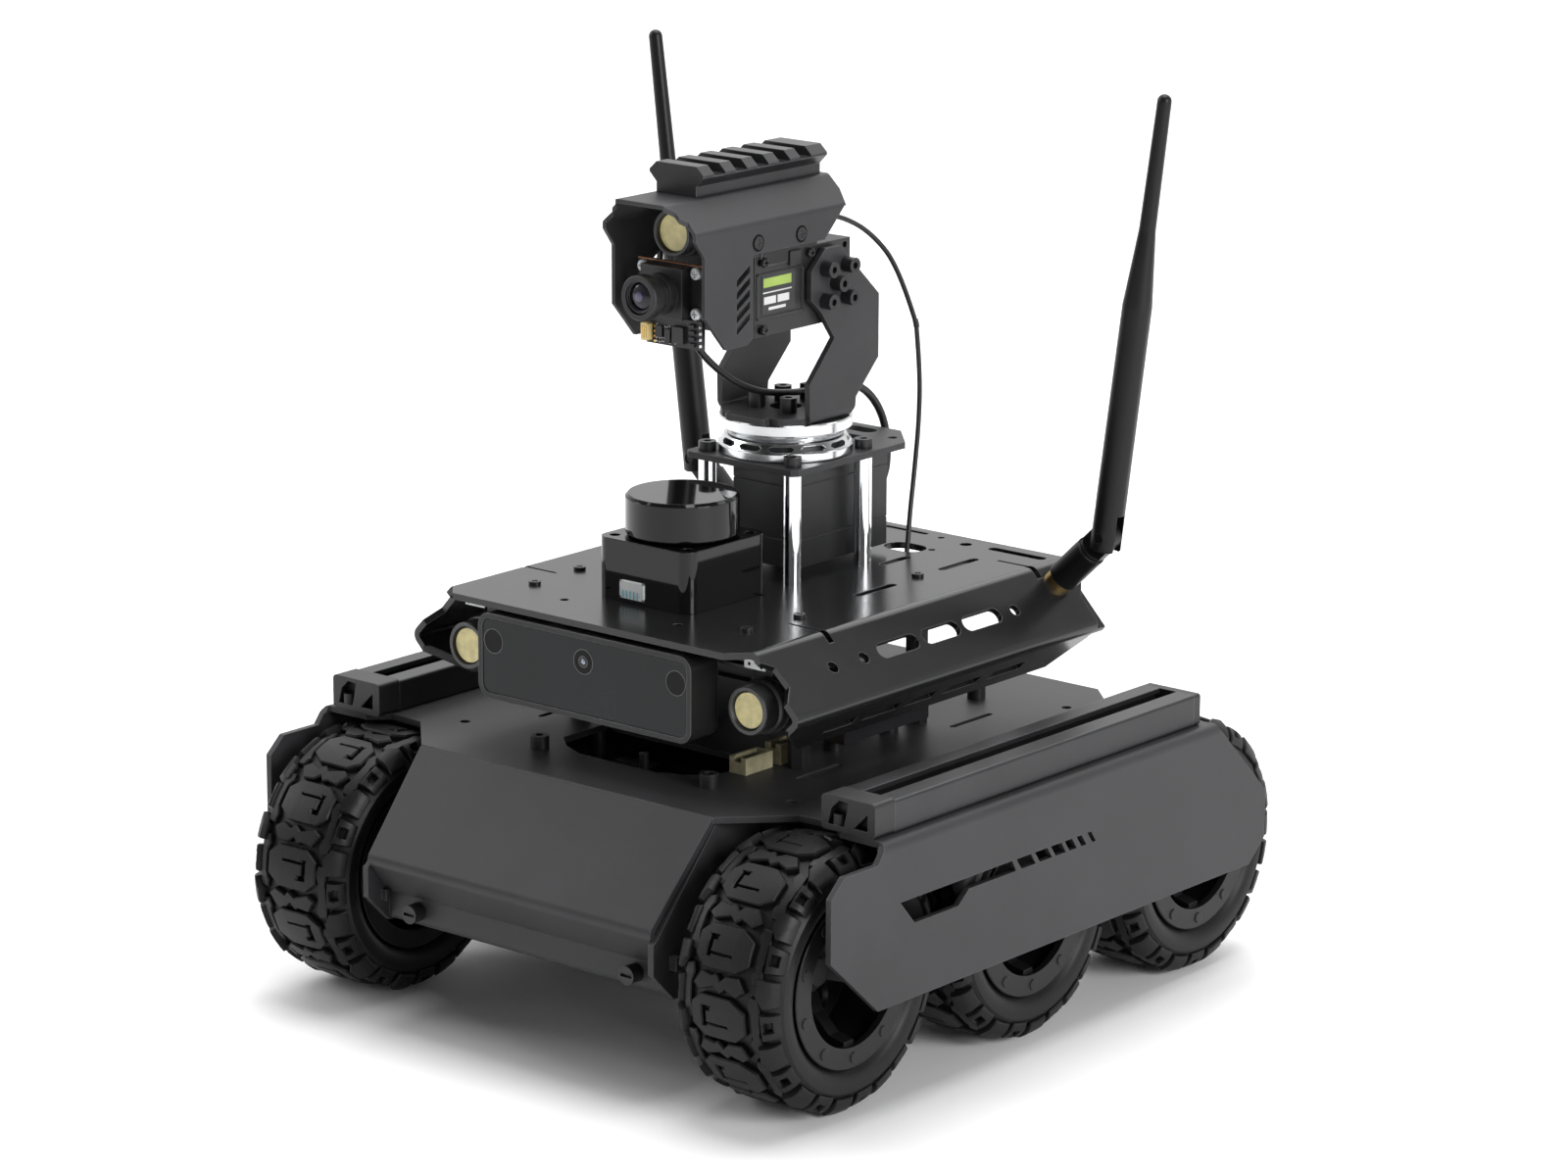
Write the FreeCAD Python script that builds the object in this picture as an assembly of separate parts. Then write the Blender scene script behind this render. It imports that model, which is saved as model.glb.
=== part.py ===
import FreeCAD, Part
import math
import os

# Six wheel off-road rover chassis with an electronics deck, a spinning range
# finder, a depth camera bar, two headlights, a pan and tilt head and two
# folding antennas.  Millimetres.  The ground is z = 0, the front faces -Y,
# the origin lies under the middle axle on the mid-plane.

os.makedirs("parts", exist_ok=True)
V = FreeCAD.Vector

# ---------------------------------------------------------------- dimensions
WHEEL_PITCH = 86.0
AXLE_Z = 40.5
TYRE_R = 40.5
TYRE_W = 37.6
WHEEL_X = 86.4
SHAFT_R = 2.5
SHAFT_END = 87.8
RUN_FIT = 0.05

SHEET = 2.0
PLATE_Z = 83.4
SKIRT_X = 113.5
SKIRT_BOTTOM = 33.7
NOSE_Y = -96.0
NOSE_TIP_Y = -122.8
NOSE_TIP_Z = 53.3
# the nose panel's lower lip leans back between the tub's walls
NOSE_LIP_END = (-113.9, 41.7)
TAIL_Y = 89.8
TAIL_TIP_Y = 109.5
TAIL_TIP_Z = 54.0
JACK_X = 30.0
JACK_HOLE_R = 5.6
SWITCH_X = -30.0
TUB_X = 58.5
TUB_Z = 32.0
TUB_FRONT_Y = -113.2

RAIL_X = 98.9
RAIL_W = 20.0
RAIL_H = 10.0
RAIL_Y0 = -74.0
RAIL_Y1 = 74.0

DECK_Z = 130.0
DECK_Y0 = -86.3
DECK_Y1 = 71.7
DECK_BEND_X = 60.5
WING_X = 78.1
WING_Z = 111.7

CAM_Z = 113.3
CAM_Y = -87.3
CAM_W = 85.2
CAM_H = 26.6
CAM_D = 12.3
CAM_LENS_R = 3.9
CAM_LENS_X = 36.5

LAMP_X = 56.2
LAMP_Y = -78.0
LAMP_Z = 111.2

LIDAR_Y = -42.0
LIDAR_W = 37.0
LIDAR_TOP = 162.0

PAN_Y = 6.6
POST_X = 17.1
POST_DY = 17.1
TOWER_Z = 167.0
RING_R = 20.9

TILT_Y = 7.4
TILT_Z = 221.5
SERVO_X = 16.0
HEAD_X = 18.5
HEAD_TOP = 253.2
HEAD_FRONT = -61.2
LEAD_OUT_Y = 2.0
CAM_BOARD_Y = -47.2
SPOT_Y = -47.0
SPOT_Z = 242.0
LENS_Z = 224.4
ARM_X = 18.6
HORN_SCREW_H = 4.0
CLIP_Y0 = 17.0
CLIP_Y1 = 21.0

ANT_Y = 61.5
ANT_S = 6.8
ANT_REACH = 25.0
ANT_LEAN = 7.5
WHIP_WIDE = 74.0


# ------------------------------------------------------------------- helpers
def box(x0, x1, y0, y1, z0, z1):
    return Part.makeBox(x1 - x0, y1 - y0, z1 - z0, V(x0, y0, z0))


def cyl(axis, r, a, b, u, v):
    """Cylinder along X, Y or Z from a to b; u, v are the other two coordinates in xyz order."""
    if axis == "x":
        return Part.makeCylinder(r, b - a, V(a, u, v), V(1, 0, 0))
    if axis == "y":
        return Part.makeCylinder(r, b - a, V(u, a, v), V(0, 1, 0))
    return Part.makeCylinder(r, b - a, V(u, v, a), V(0, 0, 1))


def place(axis, a, u, v):
    if axis == "x":
        return V(a, u, v)
    if axis == "y":
        return V(u, a, v)
    return V(u, v, a)


def along(axis, d):
    return place(axis, d, 0, 0)


def prism(points, axis, a, b):
    """Polygon in the plane across the axis, pushed from a to b."""
    loop = [place(axis, a, u, v) for u, v in points]
    loop.append(loop[0])
    return Part.Face(Part.makePolygon(loop)).extrude(along(axis, b - a))


def mirror(shape):
    return shape.mirror(V(0, 0, 0), V(1, 0, 0))


def fuse(shapes):
    out = shapes[0]
    if len(shapes) > 1:
        out = out.multiFuse(shapes[1:])
    return out.removeSplitter()


def both(shape):
    return [shape, mirror(shape)]


def rounded(x0, x1, y0, y1, z0, z1, r, axis="z"):
    """Box whose four edges along one axis are rounded."""
    body = box(x0, x1, y0, y1, z0, z1)
    edges = []
    for e in body.Edges:
        t = e.tangentAt(e.FirstParameter)
        c = {"x": abs(t.x), "y": abs(t.y), "z": abs(t.z)}[axis]
        if c > 0.99:
            edges.append(e)
    return body.makeFillet(r, edges)


def slot_z(x, y, length, width, z0, z1, axis="y"):
    """Round-ended slot pushed along Z, its long side along X or Y."""
    h = (length - width) / 2.0
    if axis == "y":
        core = box(x - width / 2, x + width / 2, y - h, y + h, z0, z1)
        ends = [cyl("z", width / 2, z0, z1, x, y - h), cyl("z", width / 2, z0, z1, x, y + h)]
    else:
        core = box(x - h, x + h, y - width / 2, y + width / 2, z0, z1)
        ends = [cyl("z", width / 2, z0, z1, x - h, y), cyl("z", width / 2, z0, z1, x + h, y)]
    return fuse([core] + ends)


def bent(points, t, side, r_in, axis, a, b):
    """Sheet of thickness t folded along a polyline; side +1 puts the metal to the left."""
    n = len(points)
    dirs = []
    for i in range(n - 1):
        du = points[i + 1][0] - points[i][0]
        dv = points[i + 1][1] - points[i][1]
        ln = math.hypot(du, dv)
        dirs.append((du / ln, dv / ln))

    def face_run(offset):
        run = []
        for i in range(n):
            if i == 0 or i == n - 1:
                d = dirs[0] if i == 0 else dirs[-1]
                run.append(("p", (points[i][0] - d[1] * side * offset,
                                  points[i][1] + d[0] * side * offset)))
                continue
            d0, d1 = dirs[i - 1], dirs[i]
            cross = d0[0] * d1[1] - d0[1] * d1[0]
            dot = d0[0] * d1[0] + d0[1] * d1[1]
            turn = math.atan2(cross, dot)
            s = 1 if turn > 0 else -1
            near = s == side
            r_path = r_in + t if near else r_in
            reach = r_path * math.tan(abs(turn) / 2)
            p = points[i]
            start = (p[0] - d0[0] * reach, p[1] - d0[1] * reach)
            centre = (start[0] - d0[1] * s * r_path, start[1] + d0[0] * s * r_path)
            r = r_path - offset if near else r_path + offset
            if r < 1e-6:
                r = 1e-3
            base = math.atan2(start[1] - centre[1], start[0] - centre[0])
            pts = []
            for k in (0.0, 0.5, 1.0):
                w = base + turn * k
                pts.append((centre[0] + r * math.cos(w), centre[1] + r * math.sin(w)))
            run.append(("a", pts))
        return run

    def edges_of(run, backwards):
        out = []
        items = list(reversed(run)) if backwards else run
        last = None
        for kind, data in items:
            if kind == "p":
                if last is not None:
                    out.append(Part.makeLine(place(axis, a, *last), place(axis, a, *data)))
                last = data
            else:
                pts = list(reversed(data)) if backwards else data
                out.append(Part.makeLine(place(axis, a, *last), place(axis, a, *pts[0])))
                arc = Part.Arc(place(axis, a, *pts[0]), place(axis, a, *pts[1]),
                               place(axis, a, *pts[2]))
                out.append(arc.toShape())
                last = pts[2]
        return out

    one = face_run(0.0)
    two = face_run(t)
    edges = edges_of(one, False)
    edges.append(Part.makeLine(place(axis, a, *one[-1][1]), place(axis, a, *two[-1][1])))
    edges += edges_of(two, True)
    edges.append(Part.makeLine(place(axis, a, *two[0][1]), place(axis, a, *one[0][1])))
    wire = Part.Wire(edges)
    return Part.Face(wire).extrude(along(axis, b - a))


def spin(points, centre, axis):
    """Closed (along, radius) polygon turned about an axis through centre."""
    ax = {"x": V(1, 0, 0), "y": V(0, 1, 0), "z": V(0, 0, 1)}[axis]
    loop = []
    for s, r in points:
        if axis == "x":
            loop.append(V(s, 0, r))
        elif axis == "y":
            loop.append(V(0, s, r))
        else:
            loop.append(V(r, 0, s))
    loop.append(loop[0])
    body = Part.Face(Part.makePolygon(loop)).revolve(V(0, 0, 0), ax, 360)
    body.translate(centre)
    return body


def ring(axis, r0, r1, a, b, u, v):
    return cyl(axis, r1, a, b, u, v).cut(cyl(axis, r0, a - 1, b + 1, u, v))


def cap_screw(x, y, z, r, h, axis="z", sign=1):
    """Socket head: cylinder with a hexagon socket, standing on (x, y, z)."""
    socket = r * 0.5
    hexagon = []
    for k in range(6):
        w = math.radians(60 * k)
        hexagon.append((socket * math.cos(w), socket * math.sin(w)))
    head = Part.makeCylinder(r, h, V(0, 0, 0), V(0, 0, 1))
    head = head.cut(prism(hexagon, "z", h * 0.4, h + 1))
    if axis == "x":
        head.rotate(V(0, 0, 0), V(0, 1, 0), 90 * sign)
    elif axis == "y":
        head.rotate(V(0, 0, 0), V(1, 0, 0), -90 * sign)
    elif sign < 0:
        head.rotate(V(0, 0, 0), V(1, 0, 0), 180)
    head.translate(V(x, y, z))
    return head


def tube(name, points, r):
    """Round cord: straight runs joined by tangent arcs as large as the runs allow."""
    pts = [V(*p) for p in points]
    edges = []
    last = pts[0]
    radii = []
    for i in range(1, len(pts) - 1):
        before = pts[i] - pts[i - 1]
        after = pts[i + 1] - pts[i]
        reach = 0.45 * min(before.Length, after.Length)
        before.normalize()
        after.normalize()
        half = before.getAngle(after) / 2
        radius = reach / math.tan(half)
        radii.append(round(radius, 1))
        start = pts[i] - before * reach
        end = pts[i] + after * reach
        inward = after - before
        inward.normalize()
        middle = pts[i] + inward * (radius / math.cos(half) - radius)
        edges.append(Part.makeLine(last, start))
        edges.append(Part.Arc(start, middle, end).toShape())
        last = end
    edges.append(Part.makeLine(last, pts[-1]))
    path = Part.Wire(edges)
    section = Part.Wire([Part.makeCircle(r, pts[0], pts[1] - pts[0])])
    body = path.makePipeShell([section], True, False)
    full = math.pi * r * r * path.Length
    print(name, "length", round(path.Length, 1), "radii", radii, "volume", round(body.Volume / full, 4))
    return body


def save(name, shape):
    if shape.ShapeType == "Compound" and len(shape.Solids) == 1:
        shape = shape.Solids[0]
    shape.exportStep("parts/" + name + ".step")


# ------------------------------------------------------- folded chassis shell
def plate_outline():
    right = [(58.6, NOSE_Y), (76.5, -77.8), (89.7, -77.2), (95.3, -82.5), (114.0, -83.3),
             (114.0, 81.5), (95.0, 79.6), (89.5, 77.2), (72.5, 78.2), (60.4, TAIL_Y)]
    left = [(-x, y) for x, y in reversed(right)]
    return right + left


SKIRT_OUTLINE = [(-83.6, 84.0), (-83.6, 82.6), (-87.4, 77.8), (-102.4, 77.8), (-108.4, 72.4),
                 (-108.4, 53.2), (-86.8, SKIRT_BOTTOM), (99.6, SKIRT_BOTTOM), (107.6, 41.0),
                 (107.6, 56.4), (81.6, 82.0), (81.6, 84.0)]

# service opening in the plate under the depth camera
OPENING = [(-31.0, -42.0), (-31.0, -62.0), (-24.0, -68.2), (-15.5, -72.0), (15.5, -72.0),
           (24.0, -68.2), (31.0, -62.0), (31.0, -42.0)]

LONG_SLOT = [(-77.0, 64.2), (-70.2, 56.5), (-49.6, 56.5), (-44.6, 60.6), (-21.8, 60.6), (-24.0, 64.2)]


def tail_frame(shape, x):
    """Moves a piece built around the origin, facing +Z, onto the sloping tail at x."""
    slope = math.atan2(PLATE_Z - TAIL_TIP_Z, TAIL_TIP_Y - TAIL_Y)
    shape.rotate(V(0, 0, 0), V(1, 0, 0), -math.degrees(slope))
    shape.translate(V(x, (TAIL_Y + TAIL_TIP_Y) / 2, (PLATE_Z + TAIL_TIP_Z) / 2))
    return shape


def skirt_windows():
    cuts = [prism(LONG_SLOT, "x", 105, 120)]
    start = -21.9
    for width, gap in ((7.1, 1.9), (6.2, 1.7), (5.2, 1.6), (3.8, 2.2), (2.6, 2.9), (1.9, 0.0)):
        lean = 2.6
        win = [(start, 64.2), (start + width, 64.2), (start + width + lean, 60.6), (start + lean, 60.6)]
        cuts.append(prism(win, "x", 105, 120))
        start += width + gap
    return cuts


def chassis_shell():
    channel = bent([(-SKIRT_X, 30.0), (-SKIRT_X, PLATE_Z), (SKIRT_X, PLATE_Z), (SKIRT_X, 30.0)],
                   SHEET, -1, 1.0, "y", -112.0, 112.0)
    top = prism(plate_outline(), "z", 76.0, 90.0)
    inner = box(-110.9, 110.9, -120, 120, 70, 95)
    side = prism(SKIRT_OUTLINE, "x", 110.9, 115.0)
    keep = fuse([top.common(inner)] + both(side))
    shell = channel.common(keep)
    nose = bent([(-88.0, PLATE_Z), (NOSE_Y, PLATE_Z), (NOSE_TIP_Y, NOSE_TIP_Z), NOSE_LIP_END],
                SHEET, 1, 1.0, "x", -58.6, 58.6)
    taper = [(58.6, -80.0), (58.6, NOSE_Y), (56.4, NOSE_TIP_Y - 5), (-56.4, NOSE_TIP_Y - 5),
             (-58.6, NOSE_Y), (-58.6, -80.0)]
    nose = nose.common(prism(taper, "z", 30, 90))
    nose = nose.cut(fuse(both(box(TUB_X - SHEET - 0.2, 62.0, -130, -105.0, 30, 51.8))))
    tail = bent([(82.0, PLATE_Z), (TAIL_Y, PLATE_Z), (TAIL_TIP_Y, TAIL_TIP_Z), (TAIL_TIP_Y, 43.1)],
                SHEET, -1, 1.0, "x", -58.6, 58.6)
    for s in both(box(53.4, 62.0, 106.8, 125, 30, 52.0)):
        tail = tail.cut(s)
    shell = fuse([shell, nose, tail])
    cuts = []
    for win in skirt_windows():
        cuts += both(win)
    for x in (-52.2, 52.2):
        for y in (-39.5, 34.6):
            cuts.append(slot_z(x, y, 20.5, 2.2, 80, 85))
    for x in (-65.9, 65.9):
        for y in (-68.8, 65.8):
            cuts.append(cyl("z", 1.6, 80, 85, x, y))
    for x in (-RAIL_X, RAIL_X):
        for y in (-60, 0, 60):
            cuts.append(cyl("z", 1.6, 80, 85, x, y))
    cuts.append(prism(OPENING, "z", 80, 85))
    # round charge socket and square switch window in the sloping tail
    hole = Part.makeCylinder(JACK_HOLE_R, 20, V(0, 0, -10), V(0, 0, 1))
    window = box(-9.6, 9.6, -6.6, 6.6, -10, 10)
    cuts += [tail_frame(hole, JACK_X), tail_frame(window, SWITCH_X)]
    return shell.cut(fuse(cuts))


save("chassis_shell", chassis_shell())


# ------------------------------------------------------------------ lower tub
def tub():
    side_line = [(-122.3, 50.6), (-122.3, 41.2), (-113.1, TUB_Z), (101.0, TUB_Z), (109.2, 40.2),
                 (109.2, 50.6), (88.6, 80.4), (86.0, 81.3), (-93.4, 81.3), (-94.8, 80.7),
                 (-121.0, 51.4)]
    wall = prism(side_line, "x", TUB_X - SHEET, TUB_X)
    floor = bent([(TUB_FRONT_Y, 41.4), (TUB_FRONT_Y, TUB_Z), (101.0, TUB_Z), (106.0, 37.0)],
                 SHEET, 1, 0.8, "x", -TUB_X + 1.0, TUB_X - 1.0)
    body = fuse(both(wall) + [floor])
    tab = box(TUB_X - 1.0, TUB_X + 2.6, -115.0, -113.0, 41.4, 45.6)
    tab_in = box(TUB_X - 4.0, TUB_X - 1.0, -116.4, -115.0, 39.0, 42.6)
    body = fuse([body] + both(tab) + both(tab_in))
    holes = []
    for y in (-WHEEL_PITCH, 0, WHEEL_PITCH):
        holes += both(cyl("x", 5.2, TUB_X - 4, TUB_X + 4, y, AXLE_Z))
    for y in (-55, -25, 25, 55):
        holes += both(cyl("x", 6.0, TUB_X - 4, TUB_X + 4, y, 62.0))
    for y in (-43.0, 43.0):
        for x in (-30.0, 0.0, 30.0):
            holes.append(slot_z(x, y, 26.0, 5.0, TUB_Z - 1, TUB_Z + 4))
    return body.cut(fuse(holes))


save("tub", tub())


def tub_screws():
    heads = []
    for x in (-43.9, 43.9):
        head = Part.makeCylinder(2.9, 4.6, V(0, 0, 0), V(0, 0, 1))
        slit = box(-2.2, 2.2, -0.5, 0.5, 3.6, 6.0)
        head = head.cut(slit)
        head.rotate(V(0, 0, 0), V(1, 0, 0), 90)
        head.translate(V(x, TUB_FRONT_Y, 37.2))
        heads.append(head)
    for y in (-70.0, 70.0):
        for x in (-48.0, 48.0):
            heads.append(cap_screw(x, y, TUB_Z, 2.6, 1.4, "z", -1))
    return heads


# -------------------------------------------------- drive units in the tub
def gear_motor(y, sign):
    gearbox = box(41.0, 56.4, y - 11.0, y + 11.0, 34.2, 66.0)
    can = cyl("x", 10.0, 8.0, 41.0, y, 53.0)
    tail = cyl("x", 4.0, 5.0, 8.0, y, 53.0)
    boss = cyl("x", 4.8, 56.4, 61.5, y, AXLE_Z)
    shaft = cyl("x", SHAFT_R, 61.5, SHAFT_END, y, AXLE_Z)
    one = fuse([gearbox, can, tail, boss, shaft])
    return one if sign > 0 else mirror(one)


motors = [gear_motor(y, s) for y in (-WHEEL_PITCH, WHEEL_PITCH) for s in (1, -1)]
save("gear_motors", Part.makeCompound(motors))


def middle_axle(sign):
    block = box(46.0, 56.4, -9.0, 9.0, 34.2, 50.0)
    boss = cyl("x", 4.8, 56.4, 61.5, 0, AXLE_Z)
    shaft = cyl("x", SHAFT_R, 61.5, SHAFT_END, 0, AXLE_Z)
    one = fuse([block, boss, shaft])
    return one if sign > 0 else mirror(one)


save("middle_axles", Part.makeCompound([middle_axle(1), middle_axle(-1)]))

save("battery_pack", rounded(-30.0, 30.0, -38.0, 38.0, 34.2, 74.0, 4.0, "y"))


def power_switch():
    frame = box(-9.4, 9.4, -6.4, 6.4, -9.0, 1.4)
    collar = box(-10.8, 10.8, -7.8, 7.8, 0.05, 1.4)
    body = fuse([frame, collar])
    pocket = box(-7.6, 7.6, -4.6, 4.6, -4.0, 3.0)
    pin_hole = cyl("y", 0.9, -7.0, 7.0, 0.0, -1.6)
    body = body.cut(pocket)
    pin = cyl("y", 0.85, -5.2, 5.2, 0.0, -1.6)
    body = fuse([body.cut(pin_hole), cyl("y", 0.9, -7.0, -5.2, 0.0, -1.6),
                 cyl("y", 0.9, 5.2, 7.0, 0.0, -1.6), pin])
    return tail_frame(body, SWITCH_X)


def switch_rocker():
    wedge = prism([(-6.6, 0.6), (-6.2, 1.0), (0.0, 0.0), (6.2, 3.2), (6.6, 2.4), (5.2, -2.4),
                   (-5.6, -2.4)], "y", -4.3, 4.3)
    rocker = wedge.cut(cyl("y", 0.9, -6.0, 6.0, 0.0, -1.6))
    return tail_frame(rocker, SWITCH_X)


save("power_switch", power_switch())
save("switch_rocker", switch_rocker())


def charge_jack():
    flange = cyl("z", 7.4, 0.05, 1.4, 0, 0)
    barrel = cyl("z", 5.4, -9.0, 0.2, 0, 0)
    bore = cyl("z", 3.6, -7.0, 3.0, 0, 0)
    pin = cyl("z", 1.0, -7.5, -0.4, 0, 0)
    return tail_frame(fuse([fuse([flange, barrel]).cut(bore), pin]), JACK_X)


save("charge_jack", charge_jack())


# ------------------------------------------------------------------ side rails
def rail():
    x0, x1 = RAIL_X - RAIL_W / 2, RAIL_X + RAIL_W / 2
    z0, z1 = PLATE_Z, PLATE_Z + RAIL_H
    body = rounded(x0, x1, RAIL_Y0, RAIL_Y1, z0, z1, 0.9, "y")
    lip, mouth, wide, deep = 1.5, 6.5, 11.4, 2.6
    for s, z in ((1, z1), (-1, z0)):
        cut = [(RAIL_X - mouth / 2, z + s), (RAIL_X - mouth / 2, z - s * lip),
               (RAIL_X - wide / 2, z - s * lip), (RAIL_X - wide / 2, z - s * deep),
               (RAIL_X - mouth / 2 + 0.6, z - s * 4.1), (RAIL_X + mouth / 2 - 0.6, z - s * 4.1),
               (RAIL_X + wide / 2, z - s * deep), (RAIL_X + wide / 2, z - s * lip),
               (RAIL_X + mouth / 2, z - s * lip), (RAIL_X + mouth / 2, z + s)]
        body = body.cut(prism(cut, "y", RAIL_Y0 - 1, RAIL_Y1 + 1))
    for dx in (-7.9, 7.9):
        body = body.cut(cyl("y", 1.1, RAIL_Y0 - 1, RAIL_Y1 + 1, RAIL_X + dx, PLATE_Z + RAIL_H / 2))
    return body


one_rail = rail()
save("rail_right", one_rail)
save("rail_left", mirror(one_rail))


def rail_foot():
    x0, x1 = RAIL_X - RAIL_W / 2, RAIL_X + RAIL_W / 2
    y0, y1 = -83.2, RAIL_Y0
    top = PLATE_Z + 10.6
    body = rounded(x0, x1, y0, y1, PLATE_Z, top, 1.4, "y")
    recess = prism([(x0 + 2.4, 85.2), (x0 + 8.4, 85.2), (x0 + 10.2, 92.6), (x0 + 6.6, 92.8),
                    (x0 + 3.8, 90.2)], "y", y0 - 1, y0 + 3.2)
    corner = prism([(x0 + 12.0, 85.4), (x0 + 17.2, 85.4), (x0 + 17.2, 90.6)], "y", y0 - 1, y0 + 3.2)
    head = cyl("z", 2.0, 85.2, 88.4, x0 + 5.2, y0 + 2.2)
    return fuse([body.cut(recess).cut(corner), head])


def rail_cap():
    x0, x1 = RAIL_X - RAIL_W / 2, RAIL_X + RAIL_W / 2
    return rounded(x0, x1, RAIL_Y1, RAIL_Y1 + 3.2, PLATE_Z, PLATE_Z + RAIL_H, 1.0, "y")


def rail_ends():
    foot = rail_foot()
    other = foot.copy()
    other.translate(V(-2 * RAIL_X, 0, 0))
    return Part.makeCompound([foot, other] + both(rail_cap()))


save("rail_ends", rail_ends())


# ----------------------------------------------------------------- upper deck
WING_LEN = math.hypot(WING_X - DECK_BEND_X, DECK_Z - WING_Z)
WING_DIR = ((WING_X - DECK_BEND_X) / WING_LEN, -(DECK_Z - WING_Z) / WING_LEN)
WING_NORM = (-WING_DIR[1], WING_DIR[0])
LIP_END = (65.1, 98.6)
LIP_LEN = math.hypot(WING_X - LIP_END[0], WING_Z - LIP_END[1])


def wing_point(s, y, out=0.0):
    return V(DECK_BEND_X + WING_DIR[0] * s + WING_NORM[0] * out, y,
             DECK_Z + WING_DIR[1] * s + WING_NORM[1] * out)


def wing_tool(points, depth=6.0):
    """Cutter across the sloping wing; points are (distance down the wing, y)."""
    loop = [wing_point(s, y, depth / 2) for s, y in points]
    loop.append(loop[0])
    push = V(-WING_NORM[0] * depth, 0, -WING_NORM[1] * depth)
    return Part.Face(Part.makePolygon(loop)).extrude(push)


def wing_drill(s, y, r, depth=6.0):
    return Part.makeCylinder(r, depth, wing_point(s, y, depth / 2),
                             V(-WING_NORM[0], 0, -WING_NORM[1]))


def wing_slot(y0, y1, s_mid, width):
    r = width / 2
    core = wing_tool([(s_mid - r, y0 + r), (s_mid + r, y0 + r), (s_mid + r, y1 - r),
                      (s_mid - r, y1 - r)])
    return fuse([core, wing_drill(s_mid, y0 + r, r), wing_drill(s_mid, y1 - r, r)])


def lip_tool(t0, t1, y0, y1):
    """Cutter through the turned-in lower lip between two distances from the wing edge."""
    ux = (LIP_END[0] - WING_X) / LIP_LEN
    uz = (LIP_END[1] - WING_Z) / LIP_LEN
    nx, nz = -uz, ux
    loop = []
    for t, o in ((t0, -3), (t1, -3), (t1, 3), (t0, 3)):
        loop.append((WING_X + ux * t + nx * o, WING_Z + uz * t + nz * o))
    return prism(loop, "y", y0, y1)


def upper_deck():
    line = [LIP_END, (WING_X, WING_Z), (DECK_BEND_X, DECK_Z), (-DECK_BEND_X, DECK_Z),
            (-WING_X, WING_Z), (-LIP_END[0], LIP_END[1])]
    body = bent(line, SHEET, 1, 1.2, "y", DECK_Y0, DECK_Y1)
    cuts = []
    # chamfered deck corners and shaped wing ends
    front = prism([(54.0, DECK_Y0 - 1), (54.0, DECK_Y0), (60.2, -79.6), (61.0, -79.6),
                   (90.0, -79.6), (90.0, DECK_Y0 - 1)], "z", 80, 135)
    rear = prism([(62.0, DECK_Y1 + 1), (62.0, 70.8), (90.0, 70.8), (90.0, DECK_Y1 + 1)],
                 "z", 80, 135)
    cuts += both(front) + both(rear)
    notch = wing_tool([(3.0, -80.5), (6.4, -75.2), (13.2, -74.6), (18.2, -79.7), (18.6, -82.0),
                       (3.0, -82.0)])
    tail_cut = wing_tool([(9.4, 70.9), (13.8, 66.7), (23.4, 66.6), (40.0, 66.6), (40.0, 73.0),
                          (9.4, 73.0)], 3.6)
    cuts += both(notch) + both(tail_cut)
    # turned-in lip: slanted front and rear ends
    lip_front = prism([(80.0, -90.0), (73.4, -79.7), (64.0, -64.0), (60.0, -60.0), (60.0, -90.0)],
                      "z", 90, WING_Z - 3.2)
    lip_rear = prism([(80.0, 66.0), (74.0, 64.4), (66.0, 56.0), (60.0, 52.0), (60.0, 80.0),
                      (80.0, 80.0)], "z", 90, WING_Z - 2.6)
    cuts += both(lip_front) + both(lip_rear)
    for y in (-53.3, -38.9, 34.7):
        cuts += both(wing_drill(11.6, y, 1.9))
    for y0, y1 in ((-31.9, -12.9), (-10.4, 7.0), (9.4, 27.6)):
        cuts += both(wing_slot(y0, y1, 11.3, 5.2))
    for y0, y1 in ((-59.0, -45.6), (-40.6, -24.6), (-20.6, -7.4), (-2.0, 14.0), (20.0, 36.0)):
        cuts += both(lip_tool(8.6, 12.6, y0, y1))
    # relief slits where the wings fold down
    for y in (-47.6, 54.2):
        cuts += both(box(46.6, 61.5, y - 0.6, y + 0.6, 120, 131))
        cuts += both(wing_tool([(-1.5, y - 1.2), (4.0, y - 1.2), (4.0, y + 1.2), (-1.5, y + 1.2)]))
    # antenna holes
    cuts += both(wing_drill(ANT_S, ANT_Y, 3.25))
    # openings in the flat of the deck
    z0, z1 = DECK_Z - 3, DECK_Z + 1
    for x, y, ln, w, ax in ((40.5, 42.3, 19.0, 3.0, "y"), (22.7, 33.0, 14.0, 3.0, "y"),
                            (41.0, 0.5, 19.0, 3.0, "y"), (18.2, -27.0, 6.0, 1.6, "x"),
                            (46.0, 65.2, 22.0, 3.6, "x"), (14.0, 49.0, 14.5, 10.0, "x")):
        cuts += both(slot_z(x, y, ln, w, z0, z1, ax))
    cuts.append(slot_z(0.0, 67.0, 18.0, 2.2, z0, z1, "x"))
    for x, y, r in ((15.0, 66.0, 1.2), (26.4, 64.2, 2.0), (22.6, 51.6, 1.2), (22.7, -70.2, 1.4)):
        cuts += both(cyl("z", r, z0, z1, x, y))
    return body.cut(fuse(cuts))


save("upper_deck", upper_deck())


def hex_post(x, y, z0, z1, flat):
    r = flat / math.sqrt(3.0)
    loop = []
    for k in range(6):
        w = math.radians(30 + 60 * k)
        loop.append((x + r * math.cos(w), y + r * math.sin(w)))
    return prism(loop, "z", z0, z1)


DECK_POSTS = ((44.2, -39.5), (40.2, 22.3))


def deck_posts():
    return [hex_post(s * x, y, PLATE_Z, DECK_Z - SHEET, 6.0) for x, y in DECK_POSTS for s in (-1, 1)]


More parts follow.
